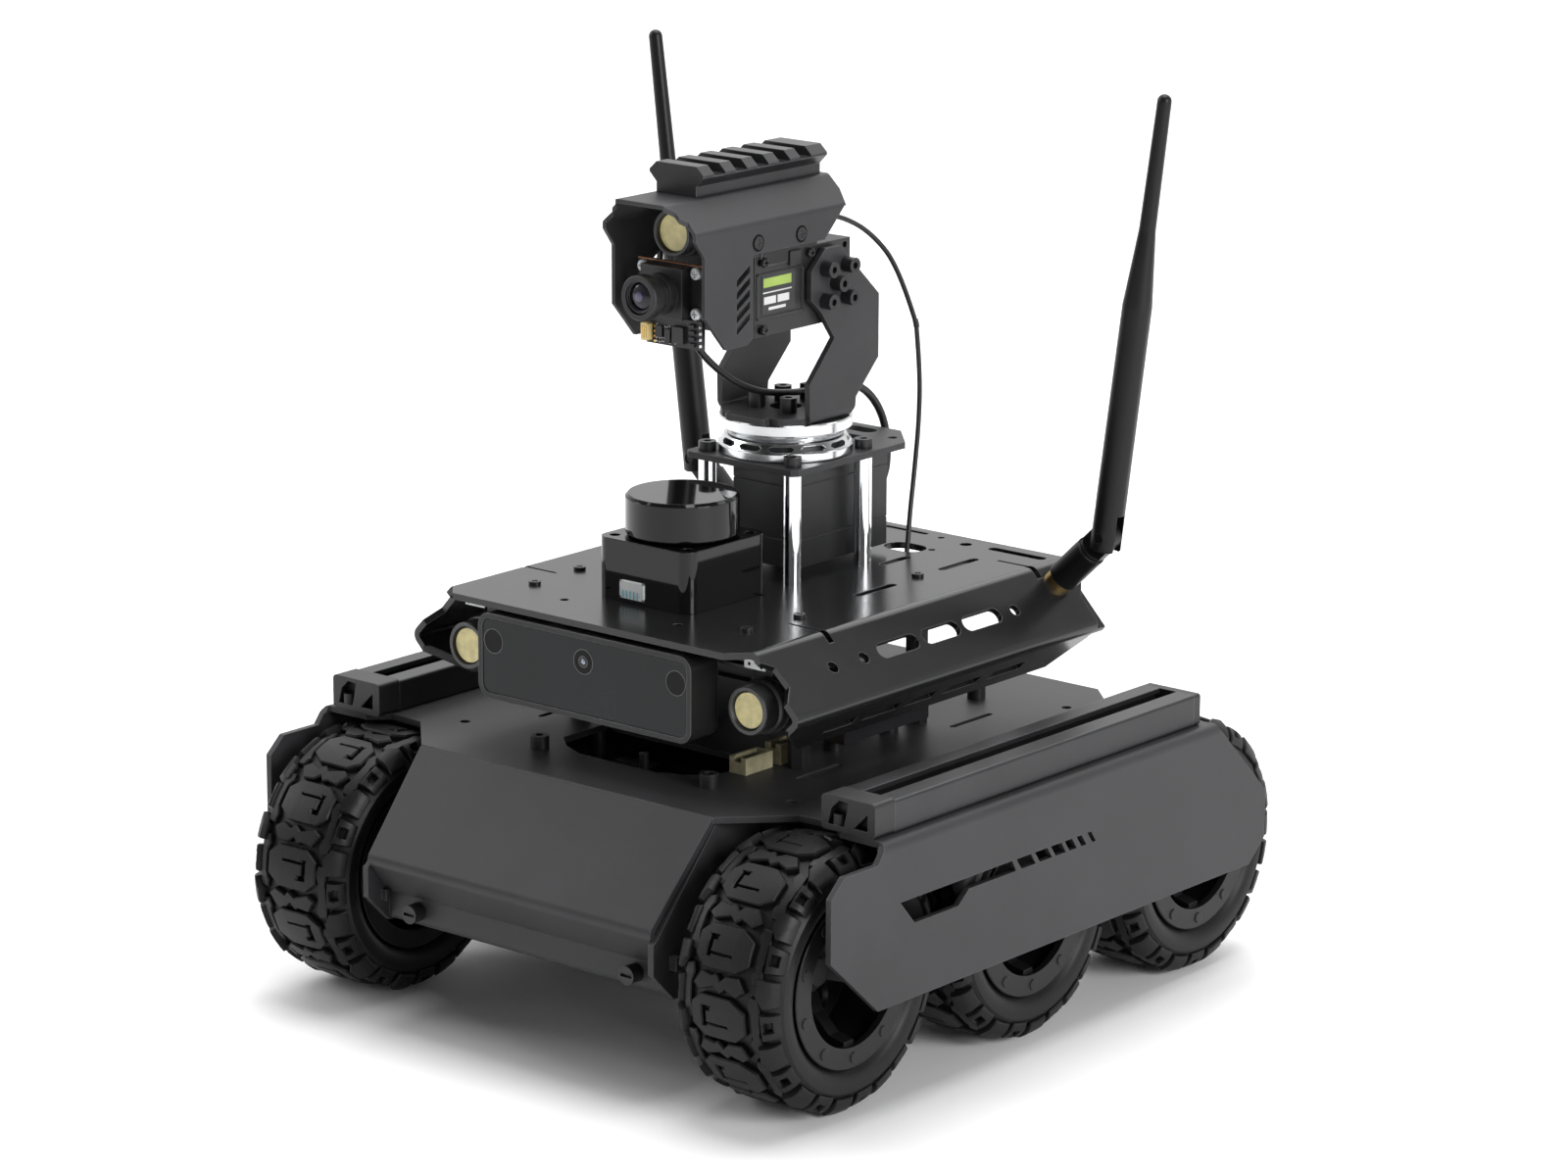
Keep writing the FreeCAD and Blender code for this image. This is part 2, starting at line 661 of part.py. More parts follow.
def deck_screws():
    heads = []
    for x, y in DECK_POSTS + ((42.4, -62.0),):
        for s in (-1, 1):
            head = cyl("z", 1.9, DECK_Z, DECK_Z + 1.0, s * x, y)
            head = head.cut(box(s * x - 1.2, s * x + 1.2, y - 0.3, y + 0.3, DECK_Z + 0.5, DECK_Z + 2))
            head = head.cut(box(s * x - 0.3, s * x + 0.3, y - 1.2, y + 1.2, DECK_Z + 0.5, DECK_Z + 2))
            heads.append(head)
    return heads


# ---------------------------------------------------------- driver electronics
def driver_unit():
    case = box(-50.0, 50.0, -25.0, 16.0, 88.0, 101.0)
    feet = [cyl("z", 3.0, PLATE_Z, 88.0, x, y) for x in (-40, 40) for y in (-18, 9)]
    fins = [box(-36.0, 36.0, -22.0 + 6.0 * k, -19.6 + 6.0 * k, 101.0, 104.0) for k in range(6)]
    terminal = box(8.0, 17.0, 15.0, 28.0, 88.0, 102.4)
    return fuse([case, terminal] + feet + fins)


def control_board():
    """Board hung under the plate's service opening, with its chips and a standoff."""
    board = box(-36.0, 36.0, -74.5, -40.5, 70.0, 71.6)
    posts = [cyl("z", 2.4, 71.6, PLATE_Z - SHEET, x, y) for x in (-33.0, 33.0) for y in (-71.5, -44.0)]
    chips = [box(-22.0, -10.0, -66.0, -54.0, 71.6, 73.2), box(-4.0, 12.0, -62.0, -46.0, 71.6, 74.4),
             box(-20.0, -6.0, -51.0, -45.0, 71.6, 76.0), box(16.0, 24.0, -60.0, -48.0, 71.6, 73.6)]
    standoff = cyl("z", 1.5, 71.6, 86.0, 5.0, -65.5)
    return fuse([board, standoff] + posts + chips)


def front_plugs():
    """Cream wire-to-board plugs standing beside the service opening, open at the top."""
    plugs = []
    for x, y, w, depth, h in ((32.0, -57.4, 6.4, 12.6, 5.2), (33.0, -42.0, 6.0, 10.0, 6.4)):
        plug = box(x, x + w, y, y + depth, PLATE_Z, PLATE_Z + h)
        hollow = box(x + 1.0, x + w - 1.0, y + 1.0, y + depth - 1.0, PLATE_Z + 2.0, PLATE_Z + 9.0)
        notch = box(x + 1.8, x + w - 1.8, y - 1.0, y + 1.5, PLATE_Z + h - 1.6, PLATE_Z + 9.0)
        plugs.append(plug.cut(hollow).cut(notch))
    return plugs


save("driver_unit", Part.makeCompound([driver_unit(), control_board()]))


def plate_bosses():
    bosses = []
    for x, y in ((-28.5, -75.4), (37.2, -72.8), (-37.5, 56.3), (37.5, 56.3)):
        bosses.append(ring("z", 1.3, 2.9, PLATE_Z, PLATE_Z + 4.2, x, y))
    return bosses


save("deck_posts", Part.makeCompound(deck_posts() + plate_bosses()))


# ------------------------------------------------------------ depth camera bar
def depthcam_body():
    x1 = CAM_W / 2
    body = rounded(-x1, x1, CAM_Y, CAM_Y + CAM_D, CAM_Z - CAM_H / 2, CAM_Z + CAM_H / 2, 4.5, "y")
    rim = rounded(-x1 + 1.7, x1 - 1.7, CAM_Y - 1, CAM_Y + 1.0, CAM_Z - CAM_H / 2 + 1.7,
                  CAM_Z + CAM_H / 2 - 1.7, 3.0, "y")
    body = body.cut(rim)
    arm = box(-12.0, 12.0, CAM_Y + CAM_D, -58.0, 124.4, 126.4)
    pad = box(-12.0, 12.0, -66.0, -58.0, 126.4, DECK_Z - SHEET)
    return fuse([body, arm, pad])


def depthcam_window():
    x1 = CAM_W / 2
    pane = rounded(-x1 + 1.8, x1 - 1.8, CAM_Y + 0.3, CAM_Y + 1.0, CAM_Z - CAM_H / 2 + 1.8,
                   CAM_Z + CAM_H / 2 - 1.8, 2.9, "y")
    for x in (-CAM_LENS_X, 0.0, CAM_LENS_X):
        pane = pane.cut(cyl("y", CAM_LENS_R, CAM_Y - 1, CAM_Y + 2, x, 118.0))
    return pane


def depthcam_lenses():
    lenses = []
    for x in (-CAM_LENS_X, 0.0, CAM_LENS_X):
        lenses.append(cyl("y", CAM_LENS_R, CAM_Y + 0.3, CAM_Y + 1.0, x, 118.0))
    return Part.makeCompound(lenses)


save("depthcam_body", depthcam_body())
save("depthcam_window", depthcam_window())
save("depthcam_lenses", depthcam_lenses())


# ----------------------------------------------------------------- headlights
def headlight_body():
    steps = [(2.2, 0.0), (2.2, 5.5), (0.0, 6.1), (0.0, 7.1), (0.4, 7.4), (6.0, 7.4), (6.4, 8.0),
             (6.8, 8.3), (8.6, 8.3), (8.6, 7.6), (9.8, 7.6), (9.8, 8.3), (16.0, 8.3), (17.4, 7.0),
             (17.4, 0.0)]
    profile = [(LAMP_Y + depth, r) for depth, r in steps]
    body = spin(profile, V(LAMP_X, 0, LAMP_Z), "y")
    bracket = box(LAMP_X - 7.0, LAMP_X + 1.0, LAMP_Y + 10.5, LAMP_Y + 15.0, 117.0, DECK_Z - SHEET)
    foot = box(38.0, LAMP_X + 1.0, LAMP_Y + 10.5, LAMP_Y + 19.0, 125.4, DECK_Z - SHEET)
    return fuse([body, bracket, foot])


def headlight_lens():
    return cyl("y", 5.4, LAMP_Y + 1.0, LAMP_Y + 2.2, LAMP_X, LAMP_Z)


save("headlights", Part.makeCompound(both(headlight_body())))
save("headlight_lenses", Part.makeCompound(both(headlight_lens())))


# ---------------------------------------------------------------- range finder
def lidar_base():
    h = LIDAR_W / 2
    body = rounded(-h, h, LIDAR_Y - h, LIDAR_Y + h, DECK_Z, 149.0, 4.0, "z")
    for x in (-14.4, 14.4):
        for y in (-14.4, 14.4):
            body = body.cut(cyl("z", 1.7, 143.0, 150.0, x, LIDAR_Y + y))
    body = body.cut(box(-8.6, 1.2, LIDAR_Y - h - 1, LIDAR_Y - h + 4.0, 131.4, 137.0))
    spindle = cyl("z", 6.0, 148.0, 154.0, 0, LIDAR_Y)
    return fuse([body, spindle])


def lidar_plug():
    plug = box(-8.4, 1.0, LIDAR_Y - LIDAR_W / 2 - 0.6, LIDAR_Y - LIDAR_W / 2 + 4.0, 131.5, 136.9)
    for k in range(4):
        x = -7.4 + 1.5 * k
        plug = plug.cut(box(x, x + 0.9, LIDAR_Y - LIDAR_W / 2 - 1.5, LIDAR_Y - LIDAR_W / 2 + 1.0,
                            132.0, 135.4))
    return plug


def lidar_head():
    r = 17.4
    profile = [(149.4, 6.05), (149.4, r - 0.8), (150.2, r), (LIDAR_TOP - 0.9, r),
               (LIDAR_TOP, r - 0.9), (LIDAR_TOP, 0.0), (155.0, 0.0), (155.0, 6.05)]
    return spin(profile, V(0, LIDAR_Y, 0), "z")


save("lidar_base", lidar_base())
save("wire_plugs", Part.makeCompound(front_plugs() + [lidar_plug()]))
save("lidar_head", lidar_head())


# ------------------------------------------------------------------- pan tower
def tower_sites():
    return [(x, PAN_Y + y) for x in (-POST_X, POST_X) for y in (-POST_DY, POST_DY)]


save("tower_posts", Part.makeCompound(
    [cyl("z", 2.75, DECK_Z, TOWER_Z - SHEET, x, y) for x, y in tower_sites()]))
save("frame_screws", Part.makeCompound(
    tub_screws() + deck_screws() + [cap_screw(x, y, TOWER_Z, 2.75, 3.0) for x, y in tower_sites()]))


def tower_plate():
    half = [(12.0, -15.6), (20.6, -15.6), (22.3, -13.8), (22.3, 38.0), (11.0, 50.0)]
    outline = half + [(-x, y) for x, y in reversed(half)]
    plate = prism(outline, "z", TOWER_Z - SHEET, TOWER_Z)
    plate = plate.cut(cyl("z", 10.4, 160, 170, 0, PAN_Y))
    plate = plate.cut(slot_z(0.0, 34.0, 16.0, 4.4, 160, 170, "x"))
    plate = plate.cut(slot_z(0.0, 43.5, 12.0, 6.0, 160, 170, "x"))
    for x in (-15.2, 15.2):
        plate = plate.cut(cyl("z", 1.6, 160, 170, x, 40.4))
    return plate


def servo_shape():
    """Rectangular servo built standing on z = 0, output on top at the origin."""
    body = box(-12.35, 12.35, -10.3, 34.9, 0.0, 32.4)
    seam_low = box(-13, 13, -11, 36, 8.6, 8.9)
    seam_high = box(-13, 13, -11, 36, 25.6, 25.9)
    core = box(-12.15, 12.15, -10.1, 34.7, 0.2, 32.2)
    body = fuse([body.cut(seam_low).cut(seam_high), core])
    for x in (-10.2, 10.2):
        for y in (-8.2, 32.6):
            body = body.cut(cyl("z", 1.2, 29.0, 33.0, x, y))
    return body


def pan_servo():
    body = servo_shape()
    output = cyl("z", 8.4, 32.4, 34.2, 0, 0)
    body = fuse([body, output])
    body.translate(V(0, PAN_Y, 132.4))
    plug = box(-6.0, 6.0, PAN_Y + 34.9, PAN_Y + 38.4, 136.0, 141.0)
    return fuse([body, plug])


save("tower_plate", tower_plate())
save("pan_servo", pan_servo())


def bearing_lower():
    z = TOWER_Z
    profile = [(z, 15.0), (z, RING_R - 0.3), (z + 0.3, RING_R), (z + 2.5, RING_R),
               (z + 2.8, RING_R - 0.3), (z + 5.4, 18.9), (z + 5.4, 15.0)]
    body = spin(profile, V(0, PAN_Y, 0), "z")
    # twelve pointed windows in the slope, down to a drum of radius 17.4
    window = prism([(-4.1, z + 4.0), (-3.0, z + 3.2), (3.0, z + 3.2), (4.1, z + 4.0), (3.0, z + 4.8),
                    (-3.0, z + 4.8)], "x", 15.8, 24.0)
    window = window.cut(cyl("z", 17.4, z, z + 8, 0, 0))
    for k in range(12):
        cut = window.copy()
        cut.rotate(V(0, 0, 0), V(0, 0, 1), 30.0 * k + 6.0)
        cut.translate(V(0, PAN_Y, 0))
        body = body.cut(cut)
    return body


def bearing_upper():
    z = TOWER_Z
    profile = [(z + 0.6, 0.0), (z + 0.6, 14.95), (z + 5.8, 14.95), (z + 5.8, 18.0), (z + 6.6, 18.4),
               (z + 8.0, 19.6), (z + 8.3, RING_R - 0.2), (z + 11.2, RING_R - 0.2),
               (z + 11.6, RING_R - 0.6), (z + 11.6, 9.0), (z + 2.4, 9.0), (z + 2.4, 0.0)]
    body = spin(profile, V(0, PAN_Y, 0), "z")
    for k in range(12):
        slit = box(17.4, 24.0, -3.2, 3.2, z + 6.9, z + 7.5)
        slit.rotate(V(0, 0, 0), V(0, 0, 1), 30.0 * k + 21.0)
        slit.translate(V(0, PAN_Y, 0))
        body = body.cut(slit)
    return body


save("bearing_lower", bearing_lower())
save("bearing_upper", bearing_upper())

FORK_Z = TOWER_Z + 11.6
ARM_LINE = [(-3.6, FORK_Z + 1.0), (-4.1, FORK_Z + 3.0), (-4.3, 191.4), (7.5, 204.2), (0.9, 213.2),
            (-3.8, 217.4), (-3.8, 226.2), (2.8, 232.6), (9.8, 232.6), (28.9, 215.0), (28.9, 195.2),
            (18.1, 184.3), (17.8, FORK_Z + 2.8), (16.6, FORK_Z + 1.0)]


def fork():
    base = bent([(-ARM_X, 240.0), (-ARM_X, FORK_Z), (ARM_X, FORK_Z), (ARM_X, 240.0)],
                SHEET, 1, 0.6, "y", -20.0, 30.0)
    arms = prism(ARM_LINE, "x", ARM_X - 2.6, ARM_X + 1.0)
    half = [(16.6, -5.0), (12.4, -9.6), (7.0, -13.4)]
    floor = half + [(-x, y) for x, y in reversed(half)]
    floor += [(-16.6, 17.6), (-13.0, 21.4), (-7.0, 24.4), (7.0, 24.4), (13.0, 21.4), (16.6, 17.6)]
    plate = prism(floor, "z", FORK_Z - 1, FORK_Z + SHEET + 0.1)
    corner = box(15.0, ARM_X + 1, -3.6, 16.6, FORK_Z - 1, FORK_Z + 3.4)
    body = base.common(fuse(both(arms) + [plate] + both(corner)))
    body = body.cut(cyl("z", 5.0, FORK_Z - 2, FORK_Z + 4, 0, PAN_Y))
    for x in (-10.0, 10.0):
        body = body.cut(box(x - 2.4, x + 2.4, -14.5, -10.4, FORK_Z - 2, FORK_Z + 4))
    clip = box(-3.0, 3.0, CLIP_Y0, CLIP_Y1, FORK_Z + SHEET - 0.5, FORK_Z + SHEET + 5.0)
    return fuse([body, clip])


save("fork", fork())


def fork_screws():
    heads = []
    for k in range(4):
        w = math.radians(45 + 90 * k)
        heads.append(cap_screw(9.0 * math.cos(w), PAN_Y + 9.0 * math.sin(w), FORK_Z + SHEET, 2.7, 4.6))
    for sign in (-1, 1):
        for dy, dz in ((0, 0), (-5, 5), (5, 5), (-5, -5), (5, -5)):
            heads.append(cap_screw(sign * ARM_X, TILT_Y + dy, TILT_Z + dz, 2.4, HORN_SCREW_H, "x", sign))
    return Part.makeCompound(heads)


save("fork_screws", fork_screws())


def tilt_horns():
    disc = cyl("x", 10.2, SERVO_X + 0.05, ARM_X - SHEET, TILT_Y, TILT_Z)
    stub = cyl("x", 3.0, SERVO_X - 4.4, SERVO_X + 0.1, TILT_Y, TILT_Z)
    return Part.makeCompound(both(fuse([disc, stub])))


save("tilt_horns", tilt_horns())


# ----------------------------------------------------------------- tilt head
def tilt_servo():
    y0, y1 = TILT_Y - 34.9, TILT_Y + 10.3
    z0, z1 = TILT_Z - 12.35, TILT_Z + 12.35
    body = box(-SERVO_X, SERVO_X, y0, y1, z0, z1)
    core = box(-SERVO_X + 0.2, SERVO_X - 0.2, y0 + 0.2, y1 - 0.2, z0 + 0.2, z1 - 0.2)
    seams = [box(x - 0.15, x + 0.15, y0 - 1, y1 + 1, z0 - 1, z1 + 1) for x in (-9.5, 9.5)]
    body = fuse([body.cut(fuse(seams)), core])
    bore = cyl("x", 3.0 + RUN_FIT, SERVO_X - 4.5, SERVO_X + 1, TILT_Y, TILT_Z)
    body = body.cut(fuse(both(bore)))
    holes = []
    for y in (y0 + 2.5, y1 - 2.5):
        for z in (z0 + 1.95, z1 - 1.95):
            holes += both(cyl("x", 1.0, SERVO_X - 2.4, SERVO_X + 1, y, z))
    return body.cut(fuse(holes))


save("tilt_servo", tilt_servo())

HEAD_SIDE = [(-57.0, 246.0), (-57.0, 242.6), (-53.0, 237.2), (-53.0, 219.2), (-43.4, 208.3),
             (-33.7, 208.3), (-31.0, 210.2), (-31.0, 235.4), (2.6, 235.4), (12.4, 245.0),
             (12.4, 246.0)]


def head_housing():
    wall = 1.3
    line = [(-HEAD_X, 205.0), (-HEAD_X, 244.8), (-9.4, HEAD_TOP), (9.4, HEAD_TOP),
            (HEAD_X, 244.8), (HEAD_X, 205.0)]
    body = bent(line, wall, -1, 0.6, "y", -64.0, 18.0)
    side = prism(HEAD_SIDE, "x", -30, 30).common(box(-30, 30, -70, 20, 200, 244.9))
    crown = prism([(-9.6, HEAD_FRONT), (9.6, HEAD_FRONT), (11.4, -58.6), (13.2, -58.6),
                   (14.6, -56.4), (19.0, -57.0), (19.0, 12.4), (14.0, 15.0), (-14.0, 15.0),
                   (-19.0, 12.4), (-19.0, -57.0), (-14.6, -56.4), (-13.2, -58.6),
                   (-11.4, -58.6)], "z", 244.5, 256.0)
    body = body.common(fuse([side, crown]))
    for k in range(5):
        z = 211.6 + 3.6 * k
        vent = [(-38.6, z + 0.4), (-32.4, z + 4.3), (-32.4, z + 6.6), (-38.6, z + 2.7)]
        body = body.cut(prism(vent, "x", -25, 25))
    cradle = box(-SERVO_X, SERVO_X, -30.0, 2.0, TILT_Z + 12.35, 236.6)
    rib = box(-HEAD_X + 1.0, HEAD_X - 1.0, -30.0, 2.0, 235.5, 237.0)
    lead_out = box(0.0, 5.0, -8.0, LEAD_OUT_Y, 236.8, 242.0)
    hanger = box(-HEAD_X + 1.0, HEAD_X - 1.0, -45.7, -43.7, 217.0, 222.0).cut(
        box(-8.4, -3.6, -46.0, -43.0, 216.0, 223.0))
    return fuse([body, cradle, rib, lead_out, hanger])


save("head_housing", head_housing())


def picatinny_rail():
    z = HEAD_TOP
    half = [(7.8, z), (7.8, z + 3.2), (10.6, z + 6.0), (10.6, z + 6.8), (7.9, z + 9.3)]
    outline = half + [(-x, zz) for x, zz in reversed(half)]
    y0, y1 = -44.7, 13.0
    body = prism(outline, "y", y0, y1)
    pitch, land = 10.0, 4.8
    y = y0 + land + 0.2
    while y + 5.2 < y1:
        body = body.cut(box(-12, 12, y, y + 5.2, z + 6.2, z + 12))
        y += pitch
    return body


save("picatinny_rail", picatinny_rail())


def spot_body():
    y = SPOT_Y
    profile = [(y + 2.6, 0.0), (y + 2.6, 5.6), (y, 6.1), (y, 7.0), (y + 4.0, 7.1), (y + 4.0, 7.8),
               (y + 16.0, 7.8), (y + 16.0, 0.0)]
    body = spin(profile, V(0, 0, SPOT_Z), "y")
    foot = box(-5.0, 5.0, y + 8.0, y + 15.0, 248.5, HEAD_TOP - 1.5)
    return fuse([body, foot])


save("spot_body", spot_body())
save("spot_lens", cyl("y", 5.6, SPOT_Y + 1.3, SPOT_Y + 2.6, 0, SPOT_Z))


def cam_module():
    block = box(-8.2, 8.2, -51.6, CAM_BOARD_Y, 217.2, 232.6)
    neck = cyl("y", 6.4, -54.8, -51.6, 0, LENS_Z)
    barrel = cyl("y", 5.6, -58.6, -54.8, 0, LENS_Z)
    bell = spin([(-62.0, 5.1), (-62.0, 6.6), (-61.6, 6.9), (-58.4, 6.9), (-57.4, 5.4), (-57.4, 5.1)],
                V(0, 0, LENS_Z), "y")
    core = cyl("y", 5.2, -60.4, -57.0, 0, LENS_Z)
    return fuse([block, neck, barrel, bell, core])


def head_boards():
    """Camera board and, below it, the lamp driver board with its plug and chips."""
    camera = box(-13.0, 13.0, CAM_BOARD_Y, CAM_BOARD_Y + 1.5, 217.0, 233.2)
    driver = box(-9.0, 13.0, CAM_BOARD_Y - 0.8, CAM_BOARD_Y + 0.6, 208.0, 216.8)
    face = CAM_BOARD_Y - 0.8
    parts = [box(-9.3, -6.6, face - 2.2, face, 209.0, 214.2), box(2.2, 6.6, face - 1.4, face, 209.4, 214.4),
             box(-4.6, -2.0, face - 1.1, face, 210.4, 213.8), box(-1.0, 1.2, face - 1.1, face, 209.0, 213.2)]
    for k in range(4):
        parts.append(box(8.4, 10.6, face - 1.0, face, 209.0 + 1.9 * k, 210.0 + 1.9 * k))
    return Part.makeCompound([camera, fuse([driver] + parts)])


save("cam_module", cam_module())
save("head_boards", head_boards())


def board_screw(x, z):
    head = cyl("y", 1.8, CAM_BOARD_Y - 1.6, CAM_BOARD_Y, x, z)
    y0, y1 = CAM_BOARD_Y - 2.0, CAM_BOARD_Y - 1.0
    cross = fuse([box(x - 1.2, x + 1.2, y0, y1, z - 0.25, z + 0.25),
                  box(x - 0.25, x + 0.25, y0, y1, z - 1.2, z + 1.2)])
    return head.cut(cross)


def shell_screw(y):
    """Flat head lying in the shell's side, 0.3 mm proud."""
    z = 238.7
    head = cyl("x", 2.0, HEAD_X, HEAD_X + 0.35, y, z)
    cross = fuse([box(HEAD_X + 0.15, HEAD_X + 1, y - 1.3, y + 1.3, z - 0.25, z + 0.25),
                  box(HEAD_X + 0.15, HEAD_X + 1, y - 0.25, y + 0.25, z - 1.3, z + 1.3)])
    return head.cut(cross)


def head_screws():
    heads = []
    for x in (-10.5, 10.5):
        heads += [board_screw(x, 218.9), board_screw(x, 231.1)]
    for y in (-28.7, -8.6):
        heads += both(shell_screw(y))
    for y, z in ((-23.7, 231.8), (-2.0, 231.8), (-23.7, 211.1)):
        heads += both(cap_screw(SERVO_X, y, z, 1.4, 1.6, "x", 1))
    return Part.makeCompound(heads)


save("head_screws", head_screws())


# ------------------------------------------------------------------- antennas
def antenna_axis():
    return V(WING_NORM[0], 0, WING_NORM[1])


def sma_jack():
    a = antenna_axis()
    seat = wing_point(ANT_S, ANT_Y, 0.0)
    stud = Part.makeCylinder(3.1, 8.0, seat - a * 6.0, a)
    nut = Part.makeCylinder(4.4, 2.0, seat + a * 0.02, a)
    spigot = Part.makeCylinder(2.2, 7.0, seat + a * 2.0, a)
    return fuse([stud, nut, spigot])


def hinge_centre():
    return wing_point(ANT_S, ANT_Y, ANT_REACH)


def antenna_base():
    a = antenna_axis()
    seat = wing_point(ANT_S, ANT_Y, 0.0)
    lower = Part.makeCylinder(5.0, 14.6, seat + a * 2.4, a)
    neck = Part.makeCylinder(4.4, 1.2, seat + a * 17.0, a)
    bore = Part.makeCylinder(2.2 + RUN_FIT, 7.0, seat + a * 2.0, a)
    body = fuse([lower, neck]).cut(bore)
    c = hinge_centre()
    tongue = Part.makeCylinder(4.4, 3.4, c - V(0, 1.7, 0), V(0, 1, 0))
    web = Part.makeBox(8.8, 3.4, 8.0, V(-4.4, -1.7, -8.0))
    tilt = math.degrees(math.atan2(a.x, a.z))
    web.rotate(V(0, 0, 0), V(0, 1, 0), tilt)
    web.translate(c)
    pin = Part.makeCylinder(1.5, 8.4, c - V(0, 4.2, 0), V(0, 1, 0))
    return fuse([body, tongue, web, pin])


def antenna_whip():
    c = hinge_centre()
    length = 140.0
    sleeve = spin([(-4.4, 0.0), (-4.4, 4.3), (-3.9, 4.8), (WHIP_WIDE, 4.6), (WHIP_WIDE + 24.0, 2.6),
                   (length - 2.0, 2.2), (length - 2.0, 0.0)], V(0, 0, 0), "z")
    dome = Part.makeSphere(2.2, V(0, 0, length - 2.0))
    body = fuse([sleeve, dome])
    slot = box(-8.0, 8.0, -1.9, 1.9, -8.0, 7.6)
    body = body.cut(slot)
    body = body.cut(Part.makeCylinder(1.5 + RUN_FIT, 14.0, V(0, -7, 0), V(0, 1, 0)))
    body.rotate(V(0, 0, 0), V(0, 1, 0), ANT_LEAN)
    body.translate(c)
    return body


save("sma_jacks", Part.makeCompound(both(sma_jack())))
save("antenna_base_right", antenna_base())
save("antenna_base_left", mirror(antenna_base()))
save("antenna_whip_right", antenna_whip())
save("antenna_whip_left", mirror(antenna_whip()))


# --------------------------------------------------------------------- cords
# The lamp lead leaves the back of the head, swings out behind the tower and goes
# down through the deck.  It is two lengths, joined in a sleeve behind the fork.
HEAD_LEAD = [(2.5, 2.0, 239.5), (2.5, 14.0, 239.6), (3.2, 28.0, 237.6), (4.6, 42.0, 230.6),
             (6.2, 54.5, 217.5), (7.4, 61.6, 199.0)]
DECK_LEAD = [(7.4, 61.7, 198.6), (7.8, 63.4, 184.0), (8.4, 62.4, 168.0), (9.8, 58.6, 152.5),
             (12.0, 53.6, 139.0), (13.6, 50.2, 125.0), (13.4, 45.6, 113.0), (12.8, 37.6, 104.0),
             (12.5, 28.0, 100.5)]
HEAD_BUNDLE = [(-6.0, -45.7, 221.0), (-5.8, -39.0, 219.0), (-5.0, -34.5, 210.0), (-3.8, -26.5, 199.5),
               (-2.0, -13.5, 190.0), (-0.6, 1.5, 184.8), (0.0, 16.7, 183.6)]
SERVO_BUNDLE = [(0.0, 21.3, 183.6), (0.0, 33.0, 183.8), (0.0, 45.0, 180.4), (0.2, 54.0, 171.0),
                (0.4, 57.0, 159.0), (0.4, 55.0, 147.5), (0.0, 45.0, 139.6)]
LEAD_R = 0.8
BUNDLE_R = 1.1
save("head_cable_upper", tube("head_cable_upper", HEAD_LEAD, LEAD_R))
save("head_cable_lower", tube("head_cable_lower", DECK_LEAD, LEAD_R))
save("camera_cable", tube("camera_cable", HEAD_BUNDLE, BUNDLE_R))
save("servo_cable", tube("servo_cable", SERVO_BUNDLE, BUNDLE_R + 0.2))


# --------------------------------------------------------------------- wheels
def tyre_shape():
    h = TYRE_W / 2
    profile = [(-15.4, 24.3), (15.4, 24.3), (16.6, 26.8), (18.4, 29.5), (h, 33.0), (18.2, 36.4),
               (16.0, 37.9), (13.0, 39.4), (8.0, 40.2), (0.0, TYRE_R), (-8.0, 40.2),
               (-13.0, 39.4), (-16.0, 37.9), (-18.2, 36.4), (-h, 33.0), (-18.4, 29.5),
               (-16.6, 26.8)]
    body = spin(profile, V(0, 0, 0), "x")
    cuts = []
    count = 18
    for k in range(count):
        for s in (-1, 1):
            groove = box(9.0, 22.0, -2.4, 2.4, 36.6, 44.0)
            if s < 0:
                groove = mirror(groove)
            groove.rotate(V(0, 0, 0), V(1, 0, 0), (k + (0.5 if s < 0 else 0.0)) * 360.0 / count)
            cuts.append(groove)
    return body.cut(fuse(cuts))


def rim_shape():
    barrel = spin([(-15.4, 22.6), (15.4, 22.6), (15.4, 24.3), (-15.4, 24.3)], V(0, 0, 0), "x")
    outer = spin([(15.4, 19.8), (17.7, 19.8), (17.7, 26.0), (17.3, 26.4), (15.4, 24.3)],
                 V(0, 0, 0), "x")
    inner = spin([(-15.4, 21.0), (-17.4, 21.0), (-17.4, 26.4), (-15.4, 24.3)], V(0, 0, 0), "x")
    hub = cyl("x", 6.6, -16.0, 2.0, 0, 0)
    web = spin([(-6.0, 6.0), (-4.0, 6.0), (-3.0, 22.8), (-5.0, 22.8)], V(0, 0, 0), "x")
    for k in range(5):
        hole = cyl("x", 5.0, -8.0, 0.0, 0.0, 14.6)
        hole.rotate(V(0, 0, 0), V(1, 0, 0), 72.0 * k)
        web = web.cut(hole)
    spokes = []
    for k in range(5):
        arm = prism([(5.6, -4.2), (5.6, 1.2), (12.0, 4.4), (17.4, 10.0), (18.6, 15.6), (23.0, 15.6),
                     (23.0, 4.0), (15.0, -3.0)], "y", -2.2, 2.2)
        arm = arm.mirror(V(0, 0, 0), V(1, 0, -1))
        arm.rotate(V(0, 0, 0), V(1, 0, 0), 72.0 * k + 36.0)
        spokes.append(arm)
    bolts = []
    for k in range(10):
        w = math.radians(36.0 * k + 18.0)
        bolts.append(cyl("x", 1.7, 17.4, 18.1, 23.1 * math.cos(w), 23.1 * math.sin(w)))
    cap = cyl("x", 4.2, 2.0, 4.6, 0, 0)
    body = fuse([barrel, outer, inner, hub, web] + spokes + bolts + [cap])
    return body.cut(cyl("x", SHAFT_R + RUN_FIT, -18.0, SHAFT_END + 0.2 - WHEEL_X, 0, 0))


def stand(shape, sign, y):
    piece = shape.copy()
    if sign < 0:
        piece = mirror(piece)
    piece.translate(V(sign * WHEEL_X, y, AXLE_Z))
    return piece


